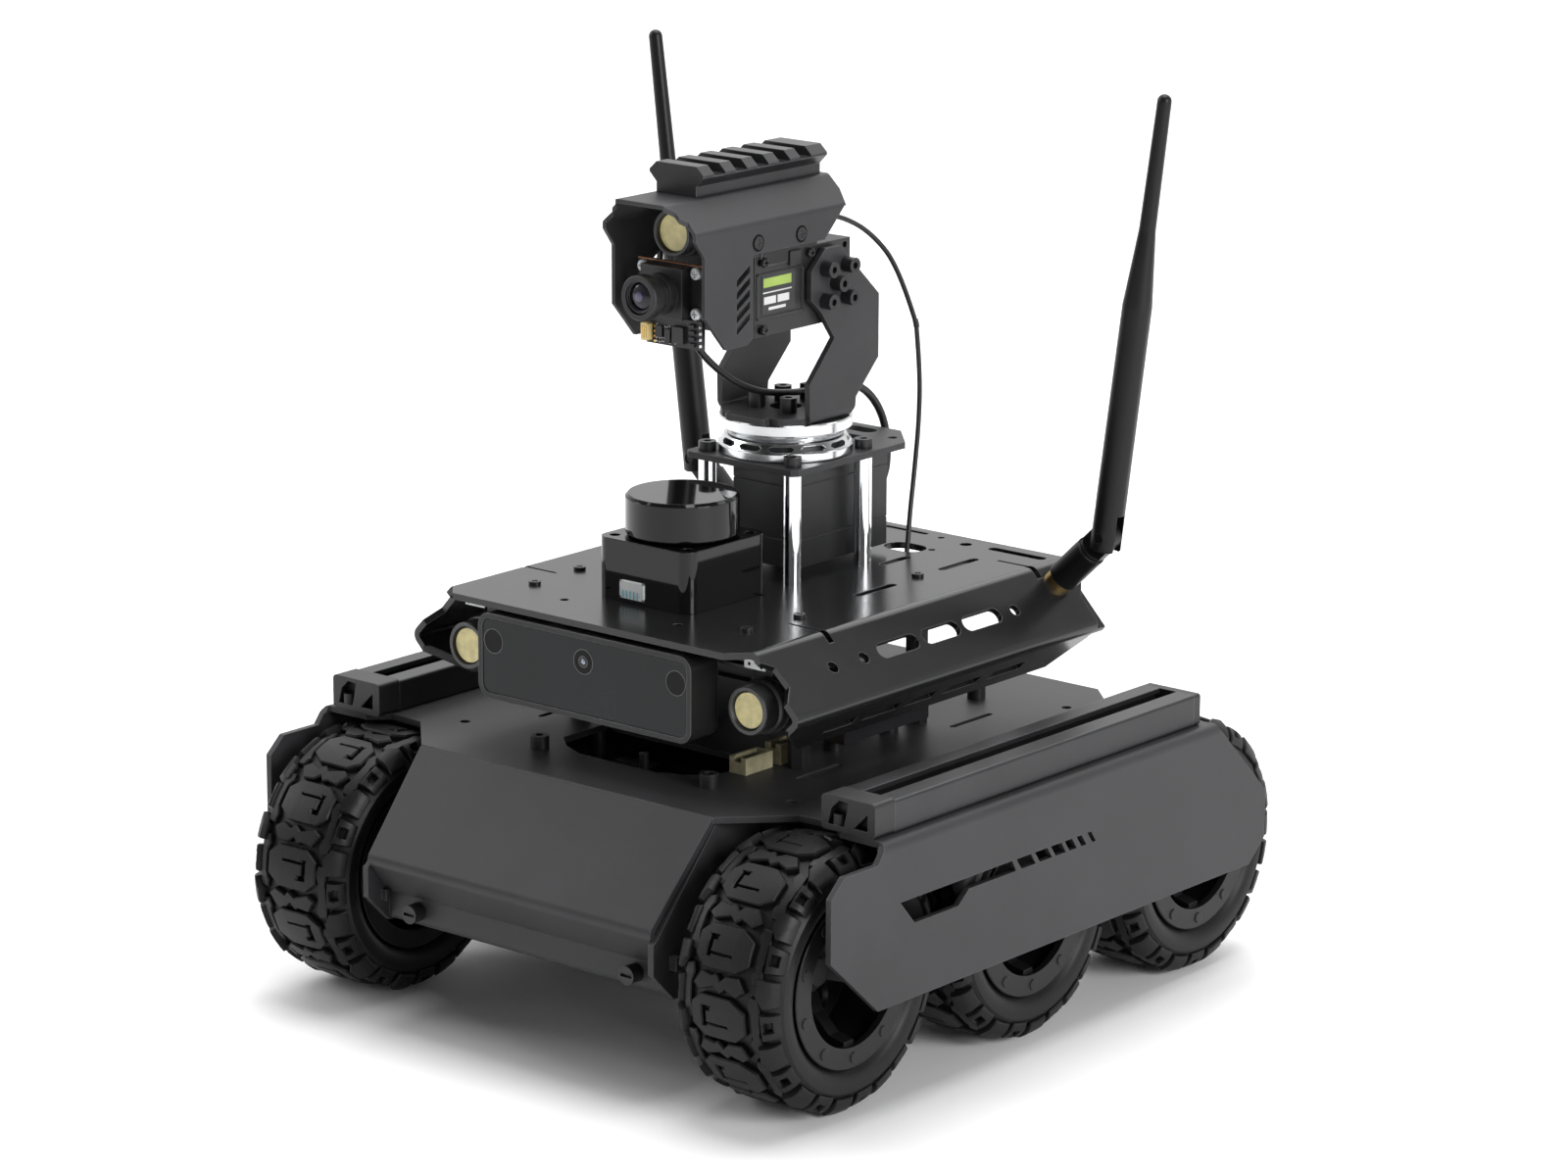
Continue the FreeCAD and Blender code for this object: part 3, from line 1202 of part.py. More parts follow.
tyre = tyre_shape()
rim = rim_shape()
for row, y in (("front", -WHEEL_PITCH), ("middle", 0.0), ("rear", WHEEL_PITCH)):
    for hand, sign in (("left", -1), ("right", 1)):
        save("tyre_" + row + "_" + hand, stand(tyre, sign, y))
        save("rim_" + row + "_" + hand, stand(rim, sign, y))
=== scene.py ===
import math
import random

import bmesh
import bpy
from mathutils import Matrix, Vector
from mathutils.geometry import tessellate_polygon


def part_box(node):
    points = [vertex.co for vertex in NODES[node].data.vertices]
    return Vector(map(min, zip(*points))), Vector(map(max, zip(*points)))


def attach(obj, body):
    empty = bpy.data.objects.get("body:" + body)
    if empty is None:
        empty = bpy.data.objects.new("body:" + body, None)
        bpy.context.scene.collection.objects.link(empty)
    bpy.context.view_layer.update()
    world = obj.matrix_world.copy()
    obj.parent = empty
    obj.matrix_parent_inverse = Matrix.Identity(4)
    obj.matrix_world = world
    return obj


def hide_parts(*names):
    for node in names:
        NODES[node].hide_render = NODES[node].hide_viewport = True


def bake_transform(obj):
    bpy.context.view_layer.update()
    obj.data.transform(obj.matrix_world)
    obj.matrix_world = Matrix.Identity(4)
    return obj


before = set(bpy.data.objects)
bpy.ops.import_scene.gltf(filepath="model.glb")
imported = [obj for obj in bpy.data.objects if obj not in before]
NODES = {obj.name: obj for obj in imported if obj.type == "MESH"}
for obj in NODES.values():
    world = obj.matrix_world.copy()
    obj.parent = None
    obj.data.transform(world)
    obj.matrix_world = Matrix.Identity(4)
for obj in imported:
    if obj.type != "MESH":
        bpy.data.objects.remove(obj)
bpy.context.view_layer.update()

# Looks of the six wheel rover.  Metres; the front faces -Y and the ground is z = 0.

MM = 0.001
ROWS = ("front", "middle", "rear")
HANDS = ("left", "right")
SIDES = ((-1, "left"), (1, "right"))


# ---------------------------------------------------------------- small helpers
def mm(*values):
    return Vector([v * MM for v in values])


def new_object(name, data, mat=None):
    piece = bpy.data.objects.new(name, data)
    bpy.context.scene.collection.objects.link(piece)
    if mat:
        piece.data.materials.append(mat)
    return piece


def box_mesh(low, high, bevel=0.0, segments=2):
    """Box with rounded edges between two corners, as a bmesh."""
    bm = bmesh.new()
    bmesh.ops.create_cube(bm, size=1.0)
    size = high - low
    centre = (high + low) / 2
    for v in bm.verts:
        v.co = Vector((v.co.x * size.x, v.co.y * size.y, v.co.z * size.z)) + centre
    if bevel:
        bmesh.ops.bevel(bm, geom=bm.edges[:], offset=bevel, segments=segments, affect="EDGES")
    return bm


def lathe(profile, steps=64):
    """Bmesh of (radius, height) points turned about Z; ends on the axis are closed by a fan."""
    bm = bmesh.new()
    rings = []
    for r, z in profile:
        if r < 1e-7:
            rings.append([bm.verts.new((0, 0, z))])
            continue
        row = []
        for k in range(steps):
            w = 2 * math.pi * k / steps
            row.append(bm.verts.new((r * math.cos(w), r * math.sin(w), z)))
        rings.append(row)
    for a, b in zip(rings, rings[1:]):
        for k in range(steps):
            n = (k + 1) % steps
            if len(a) == 1 and len(b) == 1:
                continue
            if len(a) == 1:
                bm.faces.new((a[0], b[k], b[n]))
            elif len(b) == 1:
                bm.faces.new((a[k], b[0], a[n]))
            else:
                bm.faces.new((a[k], b[k], b[n], a[n]))
    bmesh.ops.recalc_face_normals(bm, faces=bm.faces[:])
    return bm


def finish_mesh(bm, name, mat, smooth_angle=None):
    mesh = bpy.data.meshes.new(name)
    bm.to_mesh(mesh)
    bm.free()
    piece = new_object(name, mesh, mat)
    if smooth_angle is not None:
        mesh.shade_smooth()
        mesh.set_sharp_from_angle(angle=math.radians(smooth_angle))
    return piece


def facing(direction, centre):
    """Matrix that turns +Z to a direction and moves the origin to centre."""
    turn = Vector(direction).to_track_quat("Z", "Y").to_matrix().to_4x4()
    return Matrix.Translation(centre) @ turn


# -------------------------------------------------------------------- materials
def material(name, colour, rough, metallic=0.0, grain=900.0, grain_depth=0.00003, mottle=0.18,
             rough_spread=0.08, patch=28.0, edge=None, edge_width=0.0, brushed=None, coat=0.0,
             specular=0.5):
    """Procedural surface: patchy colour and gloss, fine grain, rounded edges with a patchy painted
    highlight.
    """
    mat = bpy.data.materials.new(name)
    mat.use_nodes = True
    tree = mat.node_tree
    tree.nodes.clear()
    make = tree.nodes.new
    link = tree.links.new
    out = make("ShaderNodeOutputMaterial")
    shader = make("ShaderNodeBsdfPrincipled")
    link(shader.outputs["BSDF"], out.inputs["Surface"])
    shader.inputs["Metallic"].default_value = metallic
    shader.inputs["Coat Weight"].default_value = coat
    shader.inputs["Coat Roughness"].default_value = 0.06
    shader.inputs["Specular IOR Level"].default_value = specular
    place = make("ShaderNodeTexCoord")
    wide = make("ShaderNodeTexNoise")
    wide.inputs["Scale"].default_value = patch
    wide.inputs["Detail"].default_value = 6.0
    wide.inputs["Roughness"].default_value = 0.62
    link(place.outputs["Object"], wide.inputs["Vector"])
    fine = make("ShaderNodeTexNoise")
    fine.inputs["Scale"].default_value = grain
    fine.inputs["Detail"].default_value = 4.0
    if brushed:
        stretch = make("ShaderNodeMapping")
        stretch.inputs["Scale"].default_value = brushed
        link(place.outputs["Object"], stretch.inputs["Vector"])
        link(stretch.outputs["Vector"], fine.inputs["Vector"])
    else:
        link(place.outputs["Object"], fine.inputs["Vector"])
    ramp = make("ShaderNodeValToRGB")
    ramp.color_ramp.elements[0].position = 0.3
    ramp.color_ramp.elements[1].position = 0.7
    ramp.color_ramp.elements[0].color = (*[c * (1 - mottle) for c in colour], 1)
    ramp.color_ramp.elements[1].color = (*[min(1, c * (1 + mottle)) for c in colour], 1)
    link(wide.outputs["Fac"], ramp.inputs["Fac"])
    tint = ramp.outputs["Color"]
    normal = None
    if edge_width:
        bevel = make("ShaderNodeBevel")
        bevel.samples = 4
        bevel.inputs["Radius"].default_value = edge_width
        normal = bevel.outputs["Normal"]
    # Painted highlight: the edge colour is mixed in where the bevel normal turns away from the face, in
    # patches of the wide noise.
    if edge:
        shape = make("ShaderNodeNewGeometry")
        dot = make("ShaderNodeVectorMath")
        dot.operation = "DOT_PRODUCT"
        link(bevel.outputs["Normal"], dot.inputs[0])
        link(shape.outputs["Normal"], dot.inputs[1])
        edge_highlight_mask = make("ShaderNodeMapRange")
        edge_highlight_mask.inputs["From Min"].default_value = 0.985
        edge_highlight_mask.inputs["From Max"].default_value = 0.86
        link(dot.outputs["Value"], edge_highlight_mask.inputs["Value"])
        patchy_edge_highlight = make("ShaderNodeMath")
        patchy_edge_highlight.operation = "MULTIPLY"
        link(edge_highlight_mask.outputs["Result"], patchy_edge_highlight.inputs[0])
        link(wide.outputs["Fac"], patchy_edge_highlight.inputs[1])
        mix = make("ShaderNodeMix")
        mix.data_type = "RGBA"
        link(patchy_edge_highlight.outputs["Value"], mix.inputs["Factor"])
        link(tint, mix.inputs["A"])
        mix.inputs["B"].default_value = (*edge, 1)
        tint = mix.outputs["Result"]
    link(tint, shader.inputs["Base Color"])
    gloss = make("ShaderNodeMapRange")
    gloss.inputs["To Min"].default_value = max(0.02, rough - rough_spread)
    gloss.inputs["To Max"].default_value = min(1.0, rough + rough_spread)
    link(wide.outputs["Fac"], gloss.inputs["Value"])
    link(gloss.outputs["Result"], shader.inputs["Roughness"])
    bump = make("ShaderNodeBump")
    bump.inputs["Strength"].default_value = 0.5
    bump.inputs["Distance"].default_value = grain_depth
    link(fine.outputs["Fac"], bump.inputs["Height"])
    if normal:
        link(normal, bump.inputs["Normal"])
    link(bump.outputs["Normal"], shader.inputs["Normal"])
    return mat


# The edge colours given below are painted highlights along the edges.
SHEET = material("powder_coat", (0.030, 0.030, 0.032), 0.46, grain=1500, grain_depth=0.00002,
                 edge=(0.17, 0.17, 0.175), edge_width=0.0004, specular=0.3)
GLOSS_SHEET = material("deck_coat", (0.008, 0.008, 0.0085), 0.22, grain=1500, grain_depth=0.000012,
                       edge=(0.16, 0.16, 0.165), edge_width=0.0004, rough_spread=0.05)
ANODISED = material("rail_anodised", (0.034, 0.034, 0.036), 0.36, metallic=0.55, grain=700,
                    brushed=(9.0, 0.4, 9.0), edge=(0.22, 0.22, 0.23), edge_width=0.0004)
BRIGHT = material("bright_aluminium", (0.70, 0.71, 0.72), 0.18, metallic=1.0, grain=500,
                  grain_depth=0.00001, brushed=(1.0, 1.0, 12.0), mottle=0.06, edge_width=0.0002)
POLISHED = material("polished_post", (0.84, 0.85, 0.87), 0.07, metallic=1.0, grain=600,
                    grain_depth=0.000006, brushed=(8.0, 8.0, 0.3), mottle=0.04, rough_spread=0.03)
SCREW = material("black_oxide", (0.022, 0.022, 0.024), 0.33, metallic=0.4, grain=2600,
                 grain_depth=0.00001, edge=(0.13, 0.13, 0.13), edge_width=0.0002)
MOTOR = material("motor_metal", (0.5, 0.5, 0.51), 0.34, metallic=1.0, grain=700, brushed=(0.5, 9.0, 9.0))
WRAP = material("battery_wrap", (0.006, 0.008, 0.012), 0.3, grain=400, coat=0.3)
SERVO = material("servo_plastic", (0.010, 0.010, 0.011), 0.4, grain=2400, grain_depth=0.00003,
                 edge=(0.09, 0.09, 0.09), edge_width=0.0003)
DEVICE = material("device_gloss", (0.0035, 0.0035, 0.004), 0.05, grain=500, grain_depth=0.000001,
                  rough_spread=0.03, edge_width=0.0005, specular=0.38)
CASE = material("case_plastic", (0.009, 0.009, 0.010), 0.46, grain=2000, grain_depth=0.00003,
                edge=(0.09, 0.09, 0.09), edge_width=0.0003)
CAM_SHELL = material("camera_shell", (0.018, 0.018, 0.019), 0.36, metallic=0.4, grain=1500,
                     edge=(0.3, 0.3, 0.31), edge_width=0.0004)
CAM_WINDOW = material("camera_window", (0.007, 0.0085, 0.0095), 0.2, grain=300, grain_depth=0.000003,
                      rough_spread=0.04, edge_width=0.0002, specular=0.25)
EYE_GLASS = material("depth_window", (0.002, 0.002, 0.002), 0.5, grain=2200, grain_depth=0.00004,
                     specular=0.2)
LENS = material("lens_glass", (0.004, 0.004, 0.009), 0.06, grain=300, grain_depth=0.000002, specular=0.45)
LAMP = material("lamp_ring", (0.06, 0.06, 0.062), 0.35, metallic=0.4, grain=1300,
                edge=(0.3, 0.3, 0.3), edge_width=0.0003)
LED = material("led_phosphor", (0.66, 0.57, 0.24), 0.34, grain=1800, grain_depth=0.00006,
               mottle=0.22, patch=260, coat=0.6)
BOARD = material("solder_mask", (0.012, 0.012, 0.014), 0.36, grain=900, grain_depth=0.00003,
                 edge_width=0.0002)
CREAM_GOLD = material("nylon_cream", (0.74, 0.58, 0.26), 0.42, grain=900)
# Painted shade: a darker copy of the cream nylon for the wire plugs, which sit in shadow under the camera
# bar.
CREAM_SHADED = material("nylon_cream_painted_shade", (0.34, 0.31, 0.19), 0.5, grain=900, mottle=0.3, patch=160)
# White nylon of the range finder's plug; on the lamp gussets the same white is a painted reflection.
WHITE_PLUG_AND_PAINTED_REFLECTION = material("nylon_white_and_painted_reflection", (0.72, 0.74, 0.74), 0.4, grain=900)
ANTENNA = material("antenna_plastic", (0.004, 0.004, 0.0045), 0.38, grain=1600,
                   grain_depth=0.00003, edge=(0.05, 0.05, 0.05), edge_width=0.0004, specular=0.28)
BRASS = material("plated_brass", (0.78, 0.55, 0.22), 0.22, metallic=1.0, grain=900)
RUBBER = material("tyre_rubber", (0.0055, 0.0055, 0.006), 0.46, grain=1100, grain_depth=0.00008,
                  mottle=0.3, patch=60, rough_spread=0.1, specular=0.26)
RIM = material("rim_plastic", (0.007, 0.007, 0.0075), 0.4, grain=1500, edge=(0.07, 0.07, 0.07),
               edge_width=0.0003, specular=0.3)
CABLE = material("cable_jacket", (0.005, 0.005, 0.005), 0.42, grain=1200)
COPPER = material("board_copper", (0.42, 0.2, 0.1), 0.35, metallic=0.6, grain=1200)
# Painted reflection: a dark purple disc in the middle of the head camera's lens for the glint of its
# coated glass.
PURPLE_GLINT = material("painted_purple_glint", (0.03, 0.018, 0.075), 0.12, grain=300, grain_depth=0.000002, coat=1.0)
EYE = material("lens_glint", (0.3, 0.32, 0.42), 0.12, metallic=0.5, grain=300, grain_depth=0.000002)
# Painted shade: near-black laid on as thin rings round screws and as dots on the gusset holes.
PAINTED_SHADE = material("painted_shade", (0.002, 0.002, 0.002), 0.7, grain=900, specular=0.1)
RING_LINE = material("lens_rim", (0.10, 0.10, 0.105), 0.4, grain=900)
SMALL_PART = material("small_parts", (0.09, 0.08, 0.07), 0.4, grain=2600, mottle=0.6, patch=900)
CONTACT = material("plug_contacts", (0.1, 0.42, 0.5), 0.3, grain=900)
STEEL = material("pale_steel", (0.80, 0.81, 0.82), 0.4, metallic=0.35, grain=1200)
LABEL = material("label_film", (0.02, 0.02, 0.022), 0.32, grain=900, grain_depth=0.00001)
LABEL_GREEN = material("label_green", (0.3, 0.42, 0.08), 0.35, grain=900, grain_depth=0.00001)
LABEL_PALE = material("label_pale", (0.6, 0.6, 0.6), 0.35, grain=900, grain_depth=0.00001)

NODE_MATERIAL = {
    "chassis_shell": SHEET, "tub": SHEET, "upper_deck": GLOSS_SHEET, "tower_plate": SHEET,
    "fork": SHEET, "head_housing": SHEET, "rail_left": ANODISED, "rail_right": ANODISED,
    "rail_ends": CASE, "picatinny_rail": ANODISED, "bearing_lower": BRIGHT,
    "bearing_upper": BRIGHT, "tower_posts": POLISHED, "deck_posts": CASE,
    "frame_screws": SCREW, "fork_screws": SCREW, "tilt_horns": SCREW,
    "gear_motors": MOTOR, "middle_axles": MOTOR, "battery_pack": WRAP, "pan_servo": SERVO,
    "tilt_servo": SERVO, "driver_unit": BOARD, "wire_plugs": CREAM_SHADED, "power_switch": CASE,
    "switch_rocker": DEVICE, "charge_jack": CASE, "depthcam_body": CAM_SHELL,
    "depthcam_window": CAM_WINDOW, "depthcam_lenses": EYE_GLASS, "headlights": LAMP,
    "headlight_lenses": LED, "spot_body": LAMP, "spot_lens": LED, "lidar_base": DEVICE,
    "lidar_head": DEVICE, "cam_module": CASE, "head_boards": BOARD, "sma_jacks": BRASS,
    "antenna_base_left": ANTENNA, "antenna_base_right": ANTENNA,
    "antenna_whip_left": ANTENNA, "antenna_whip_right": ANTENNA,
}
for row in ROWS:
    for hand in HANDS:
        NODE_MATERIAL["rim_" + row + "_" + hand] = RIM


def dress_nodes():
    """Gives each shown CAD node its material; only the shading changes."""
    for name, mat in NODE_MATERIAL.items():
        data = NODES[name].data
        data.materials.clear()
        data.materials.append(mat)


dress_nodes()


# ------------------------------------------------------------------------ camera
AZIMUTH = math.radians(39.79)
ELEVATION = math.radians(14.42)
ROLL = math.radians(0.27)
CAMERA_PLACE = Vector((0.99008, -1.18254, 0.52040))
FOCAL_LENGTH = 117.9


def add_camera():
    data = bpy.data.cameras.new("camera")
    data.lens = FOCAL_LENGTH
    data.sensor_width = 36.0
    data.clip_start = 0.05
    data.clip_end = 50.0
    cam = new_object("camera", data)
    back = Vector((math.sin(AZIMUTH) * math.cos(ELEVATION),
                   -math.cos(AZIMUTH) * math.cos(ELEVATION), math.sin(ELEVATION)))
    right = Vector((math.cos(AZIMUTH), math.sin(AZIMUTH), 0))
    up = back.cross(right)
    right_r = right * math.cos(ROLL) + up * math.sin(ROLL)
    up_r = up * math.cos(ROLL) - right * math.sin(ROLL)
    turn = Matrix((right_r, up_r, back)).transposed().to_4x4()
    cam.matrix_world = Matrix.Translation(CAMERA_PLACE) @ turn
    bpy.context.scene.camera = cam


add_camera()


# ------------------------------------------------------------------------- cords
# The routes are those of the CAD tubes, in millimetres.
HEAD_LEAD = [(2.5, 2.0, 239.5), (2.5, 14.0, 239.6), (3.2, 28.0, 237.6), (4.6, 42.0, 230.6),
             (6.2, 54.5, 217.5), (7.4, 61.6, 199.0)]
DECK_LEAD = [(7.4, 61.7, 198.6), (7.8, 63.4, 184.0), (8.4, 62.4, 168.0), (9.8, 58.6, 152.5),
             (12.0, 53.6, 139.0), (13.6, 50.2, 125.0), (13.4, 45.6, 113.0), (12.8, 37.6, 104.0),
             (12.5, 28.0, 100.5)]
HEAD_BUNDLE = [(-6.0, -45.7, 221.0), (-5.8, -39.0, 219.0), (-5.0, -34.5, 210.0), (-3.8, -26.5, 199.5),
               (-2.0, -13.5, 190.0), (-0.6, 1.5, 184.8), (0.0, 16.7, 183.6)]
SERVO_BUNDLE = [(0.0, 21.3, 183.6), (0.0, 33.0, 183.8), (0.0, 45.0, 180.4), (0.2, 54.0, 171.0),
                (0.4, 57.0, 159.0), (0.4, 55.0, 147.5), (0.0, 45.0, 139.6)]
LEAD_R = 0.8 * MM
BUNDLE_R = 1.1 * MM


def route_curve(name, points, bevel):
    curve = bpy.data.curves.new(name, "CURVE")
    curve.dimensions = "3D"
    curve.resolution_u = 16
    curve.bevel_depth = bevel
    curve.bevel_resolution = 4
    curve.use_fill_caps = True
    spline = curve.splines.new("NURBS")
    spline.points.add(len(points) - 1)
    for slot, p in zip(spline.points, points):
        slot.co = (*mm(*p), 1.0)
    spline.order_u = 3
    spline.use_endpoint_u = True
    return curve


def taken_as_mesh(curve):
    holder = bpy.data.objects.new(curve.name, curve)
    bpy.context.scene.collection.objects.link(holder)
    bpy.context.view_layer.update()
    mesh = bpy.data.meshes.new_from_object(holder)
    bpy.data.objects.remove(holder)
    return mesh


def cord_piece(name, points, radius, node):
    """Mesh tube along the route's smooth line, shown in place of the CAD cord."""
    line = taken_as_mesh(route_curve(name + "_line", points, 0.0))
    mesh = taken_as_mesh(route_curve(name + "_tube", points, radius))
    mesh.name = name
    mesh.materials.clear()
    mesh.materials.append(CABLE)
    mesh.shade_smooth()
    piece = new_object(name, mesh)
    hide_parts(node)
    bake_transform(piece)


def lead_sleeve():
    """Shrink sleeve over the join of the two lengths of the lamp lead."""
    profile = [(0.82, -1.4), (0.92, -1.2), (0.95, -0.8), (0.95, 0.8), (0.92, 1.2), (0.82, 1.4)]
    bm = lathe([(r * MM, z * MM) for r, z in profile], 24)
    piece = finish_mesh(bm, "lead_sleeve", CABLE, 50)
    before = mm(*HEAD_LEAD[-2])
    join = mm(*HEAD_LEAD[-1])
    after = mm(*DECK_LEAD[1])
    piece.matrix_world = facing(after - before, join)
    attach(piece, "pan_fork")
    return piece


SLEEVE = lead_sleeve()
cord_piece("lamp_lead_upper", HEAD_LEAD, LEAD_R,
           "head_cable_upper")
cord_piece("lamp_lead_lower", DECK_LEAD, LEAD_R,
           "head_cable_lower")
cord_piece("head_bundle", HEAD_BUNDLE, BUNDLE_R,
           "camera_cable")
cord_piece("servo_bundle", SERVO_BUNDLE, BUNDLE_R + 0.2 * MM,
           "servo_cable")


# ------------------------------------------------------------------------- tyres
TYRE_LOW, TYRE_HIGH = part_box("tyre_front_right")
TYRE_R = (TYRE_HIGH.z - TYRE_LOW.z) / 2 / MM
PITCHES = 12
BLOCK_CHAMFER = 0.35
SHOULDER = 0.72
BLOCK_ROOT = -0.25
BEAD_X = 15.0
BEAD_R = 24.35
GAP_AROUND = 1.8
GAP_ACROSS = 1.6
PLATE_TOP = 0.72
STUD_TOP = 1.5
LUG_TOP = 1.7
FIRST_TURN = 7.0
ROW_TURN = 11.0
PITCH = 2 * math.pi * TYRE_R / PITCHES
# outer line of the tyre, from the middle of the tread to the bead: (x, radius)
SECTION = [(0.0, 40.5), (4.0, 40.45), (8.0, 40.2), (11.0, 39.85), (13.6, 39.2), (15.6, 38.2),
           (17.2, 36.8), (18.2, 35.0), (18.7, 33.0), (18.75, 31.0), (18.4, 29.2), (17.6, 27.9),
           (16.4, 27.0), (15.2, 26.4)]
# depth of the grooves by the distance from the middle of the tread, along the section
GROOVE = [(0.0, 2.1), (12.0, 2.1), (17.0, 1.5), (20.0, 0.8), (22.0, 0.0), (60.0, 0.0)]


def table_value(rows, at):
    for (a, va), (b, vb) in zip(rows, rows[1:]):
        if at <= b:
            return va + (vb - va) * (at - a) / (b - a)
    return rows[-1][1]


def section_lengths():
    total = 0.0
    rows_x = [(0.0, SECTION[0][0])]
    rows_r = [(0.0, SECTION[0][1])]
    for a, b in zip(SECTION, SECTION[1:]):
        total += math.hypot(b[0] - a[0], b[1] - a[1])
        rows_x.append((total, b[0]))
        rows_r.append((total, b[1]))
    return total, rows_x, rows_r


SECTION_LENGTH, SECTION_X, SECTION_R = section_lengths()


def tread_point(around, across, height):
    """Point on the tyre from two distances in mm; height 1 is the top of a block, 0 the groove."""
    side = 1 if across >= 0 else -1
    b = min(abs(across), SECTION_LENGTH)
    step = 0.6
    x0, r0 = table_value(SECTION_X, max(0, b - step)), table_value(SECTION_R, max(0, b - step))
    x1, r1 = table_value(SECTION_X, b + step), table_value(SECTION_R, b + step)
    if b < step:
        x0, r0 = -x1, r1
    run = math.hypot(x1 - x0, r1 - r0)
    nx, nr = -(r1 - r0) / run, (x1 - x0) / run
    drop = table_value(GROOVE, b) * (1 - height)
    x = table_value(SECTION_X, b) - nx * drop
    r = table_value(SECTION_R, b) - nr * drop
    w = around / TYRE_R
    return Vector((side * x, r * math.sin(w), r * math.cos(w))) * MM


def carcass(bm):
    steps = PITCHES * 12
    count = 44
    half = [SECTION_LENGTH * k / (count / 2) for k in range(count // 2 + 1)]
    lines = [-b for b in reversed(half)] + half[1:]
    rings = []
    for b in lines:
        ring = []
        for k in range(steps):
            ring.append(bm.verts.new(tread_point(2 * math.pi * TYRE_R * k / steps, b, 0.0)))
        rings.append(ring)
    inner_r = BEAD_R * MM
    for side, at in ((-1, 0), (1, len(rings))):
        ring = []
        for k in range(steps):
            w = 2 * math.pi * k / steps
            ring.append(bm.verts.new((side * BEAD_X * MM, inner_r * math.sin(w), inner_r * math.cos(w))))
        rings.insert(at, ring)
    for a, b in zip(rings, rings[1:] + rings[:1]):
        for k in range(steps):
            n = (k + 1) % steps
            bm.faces.new((a[k], b[k], b[n], a[n]))


def tread_block(bm, outline, at, mirror=1, holes=(), top=1.0):
    """Raised block: outline in mm round the tyre and across it, cut finely enough to follow the curve."""
    loops = [[Vector((a, b * mirror, 0)) for a, b in loop] for loop in (outline, *holes)]
    flat = [p for loop in loops for p in loop]
    part = bmesh.new()
    verts = [part.verts.new(p) for p in flat]
    for tri in tessellate_polygon(loops):
        part.faces.new([verts[i] for i in tri])
    a0, a1 = min(p.x for p in flat), max(p.x for p in flat)
    b0, b1 = min(p.y for p in flat), max(p.y for p in flat)
    for axis, low, high, gap in ((0, a0, a1, GAP_AROUND), (1, b0, b1, GAP_ACROSS)):
        count = int((high - low) / gap)
        for k in range(1, count + 1):
            at_line = low + (high - low) * k / (count + 1)
            spot = Vector((at_line, 0, 0)) if axis == 0 else Vector((0, at_line, 0))
            way = Vector((1, 0, 0)) if axis == 0 else Vector((0, 1, 0))
            geom = part.verts[:] + part.edges[:] + part.faces[:]
            bmesh.ops.bisect_plane(part, geom=geom, plane_co=spot, plane_no=way, dist=1e-5)
    bmesh.ops.recalc_face_normals(part, faces=part.faces[:])
    up = sum((f.normal.z for f in part.faces), 0.0)
    if up < 0:
        bmesh.ops.reverse_faces(part, faces=part.faces[:])
    faces = part.faces[:]
    grown = bmesh.ops.extrude_face_region(part, geom=faces)
    bmesh.ops.delete(part, geom=faces, context="FACES_ONLY")
    tops = [g for g in grown["geom"] if isinstance(g, bmesh.types.BMFace)]
    for f in tops:
        for v in f.verts:
            v.co.z = top * SHOULDER
    bmesh.ops.inset_region(part, faces=tops, thickness=BLOCK_CHAMFER, use_even_offset=True)
    for f in tops:
        for v in f.verts:
            v.co.z = top
    made = {}
    for v in part.verts:
        height = v.co.z if v.co.z > 0.01 else BLOCK_ROOT
        made[v] = bm.verts.new(tread_point(v.co.x + at, v.co.y, height))
    for f in part.faces:
        try:
            bm.faces.new([made[v] for v in f.verts])
        except ValueError:
            pass
    part.free()


# outlines of the tread blocks: (round the tyre, across it) in mm
OCTAGON = [(-6.7, -6.2), (-3.3, -10.4), (3.7, -10.4), (6.8, -6.8), (6.8, 4.4), (3.5, 9.5),
           (-3.7, 9.5), (-6.7, 5.4)]
ELBOW = [(-3.2, -6.4), (3.4, -6.4), (3.4, -3.4), (1.9, -3.4), (1.9, -4.9), (-1.7, -4.9),
         (-1.7, 3.2), (-2.3, 3.2), (-2.3, -4.9), (-3.2, -4.9)]
BOW = [(-3.0, -7.4), (-1.2, -9.8), (2.8, -7.2), (2.2, -3.0), (3.0, -1.6), (1.0, 0.2),
       (2.8, 2.2), (3.0, 6.6), (-0.8, 9.4), (-3.0, 6.4), (-1.4, 2.4), (-3.0, 0.6), (-1.2, -1.8)]
SIDE_PLATE = [(-8.8, 11.0), (-6.0, 10.2), (-3.4, 11.4), (3.0, 11.4), (6.0, 10.0), (8.8, 10.8),
              (8.4, 14.0), (3.6, 14.6), (-2.6, 14.2), (-8.6, 14.6)]
STUD_LUG = [(-4.4, 14.9), (4.4, 14.5), (4.0, 20.9), (-4.0, 21.1)]
STUD_PIT = [(-1.5, 15.8), (1.6, 15.8), (1.6, 18.2), (-1.5, 18.2)]
PLAIN_LUG = [(-4.6, 15.3), (-1.0, 13.2), (4.2, 13.4), (4.4, 20.2), (-4.2, 20.6)]


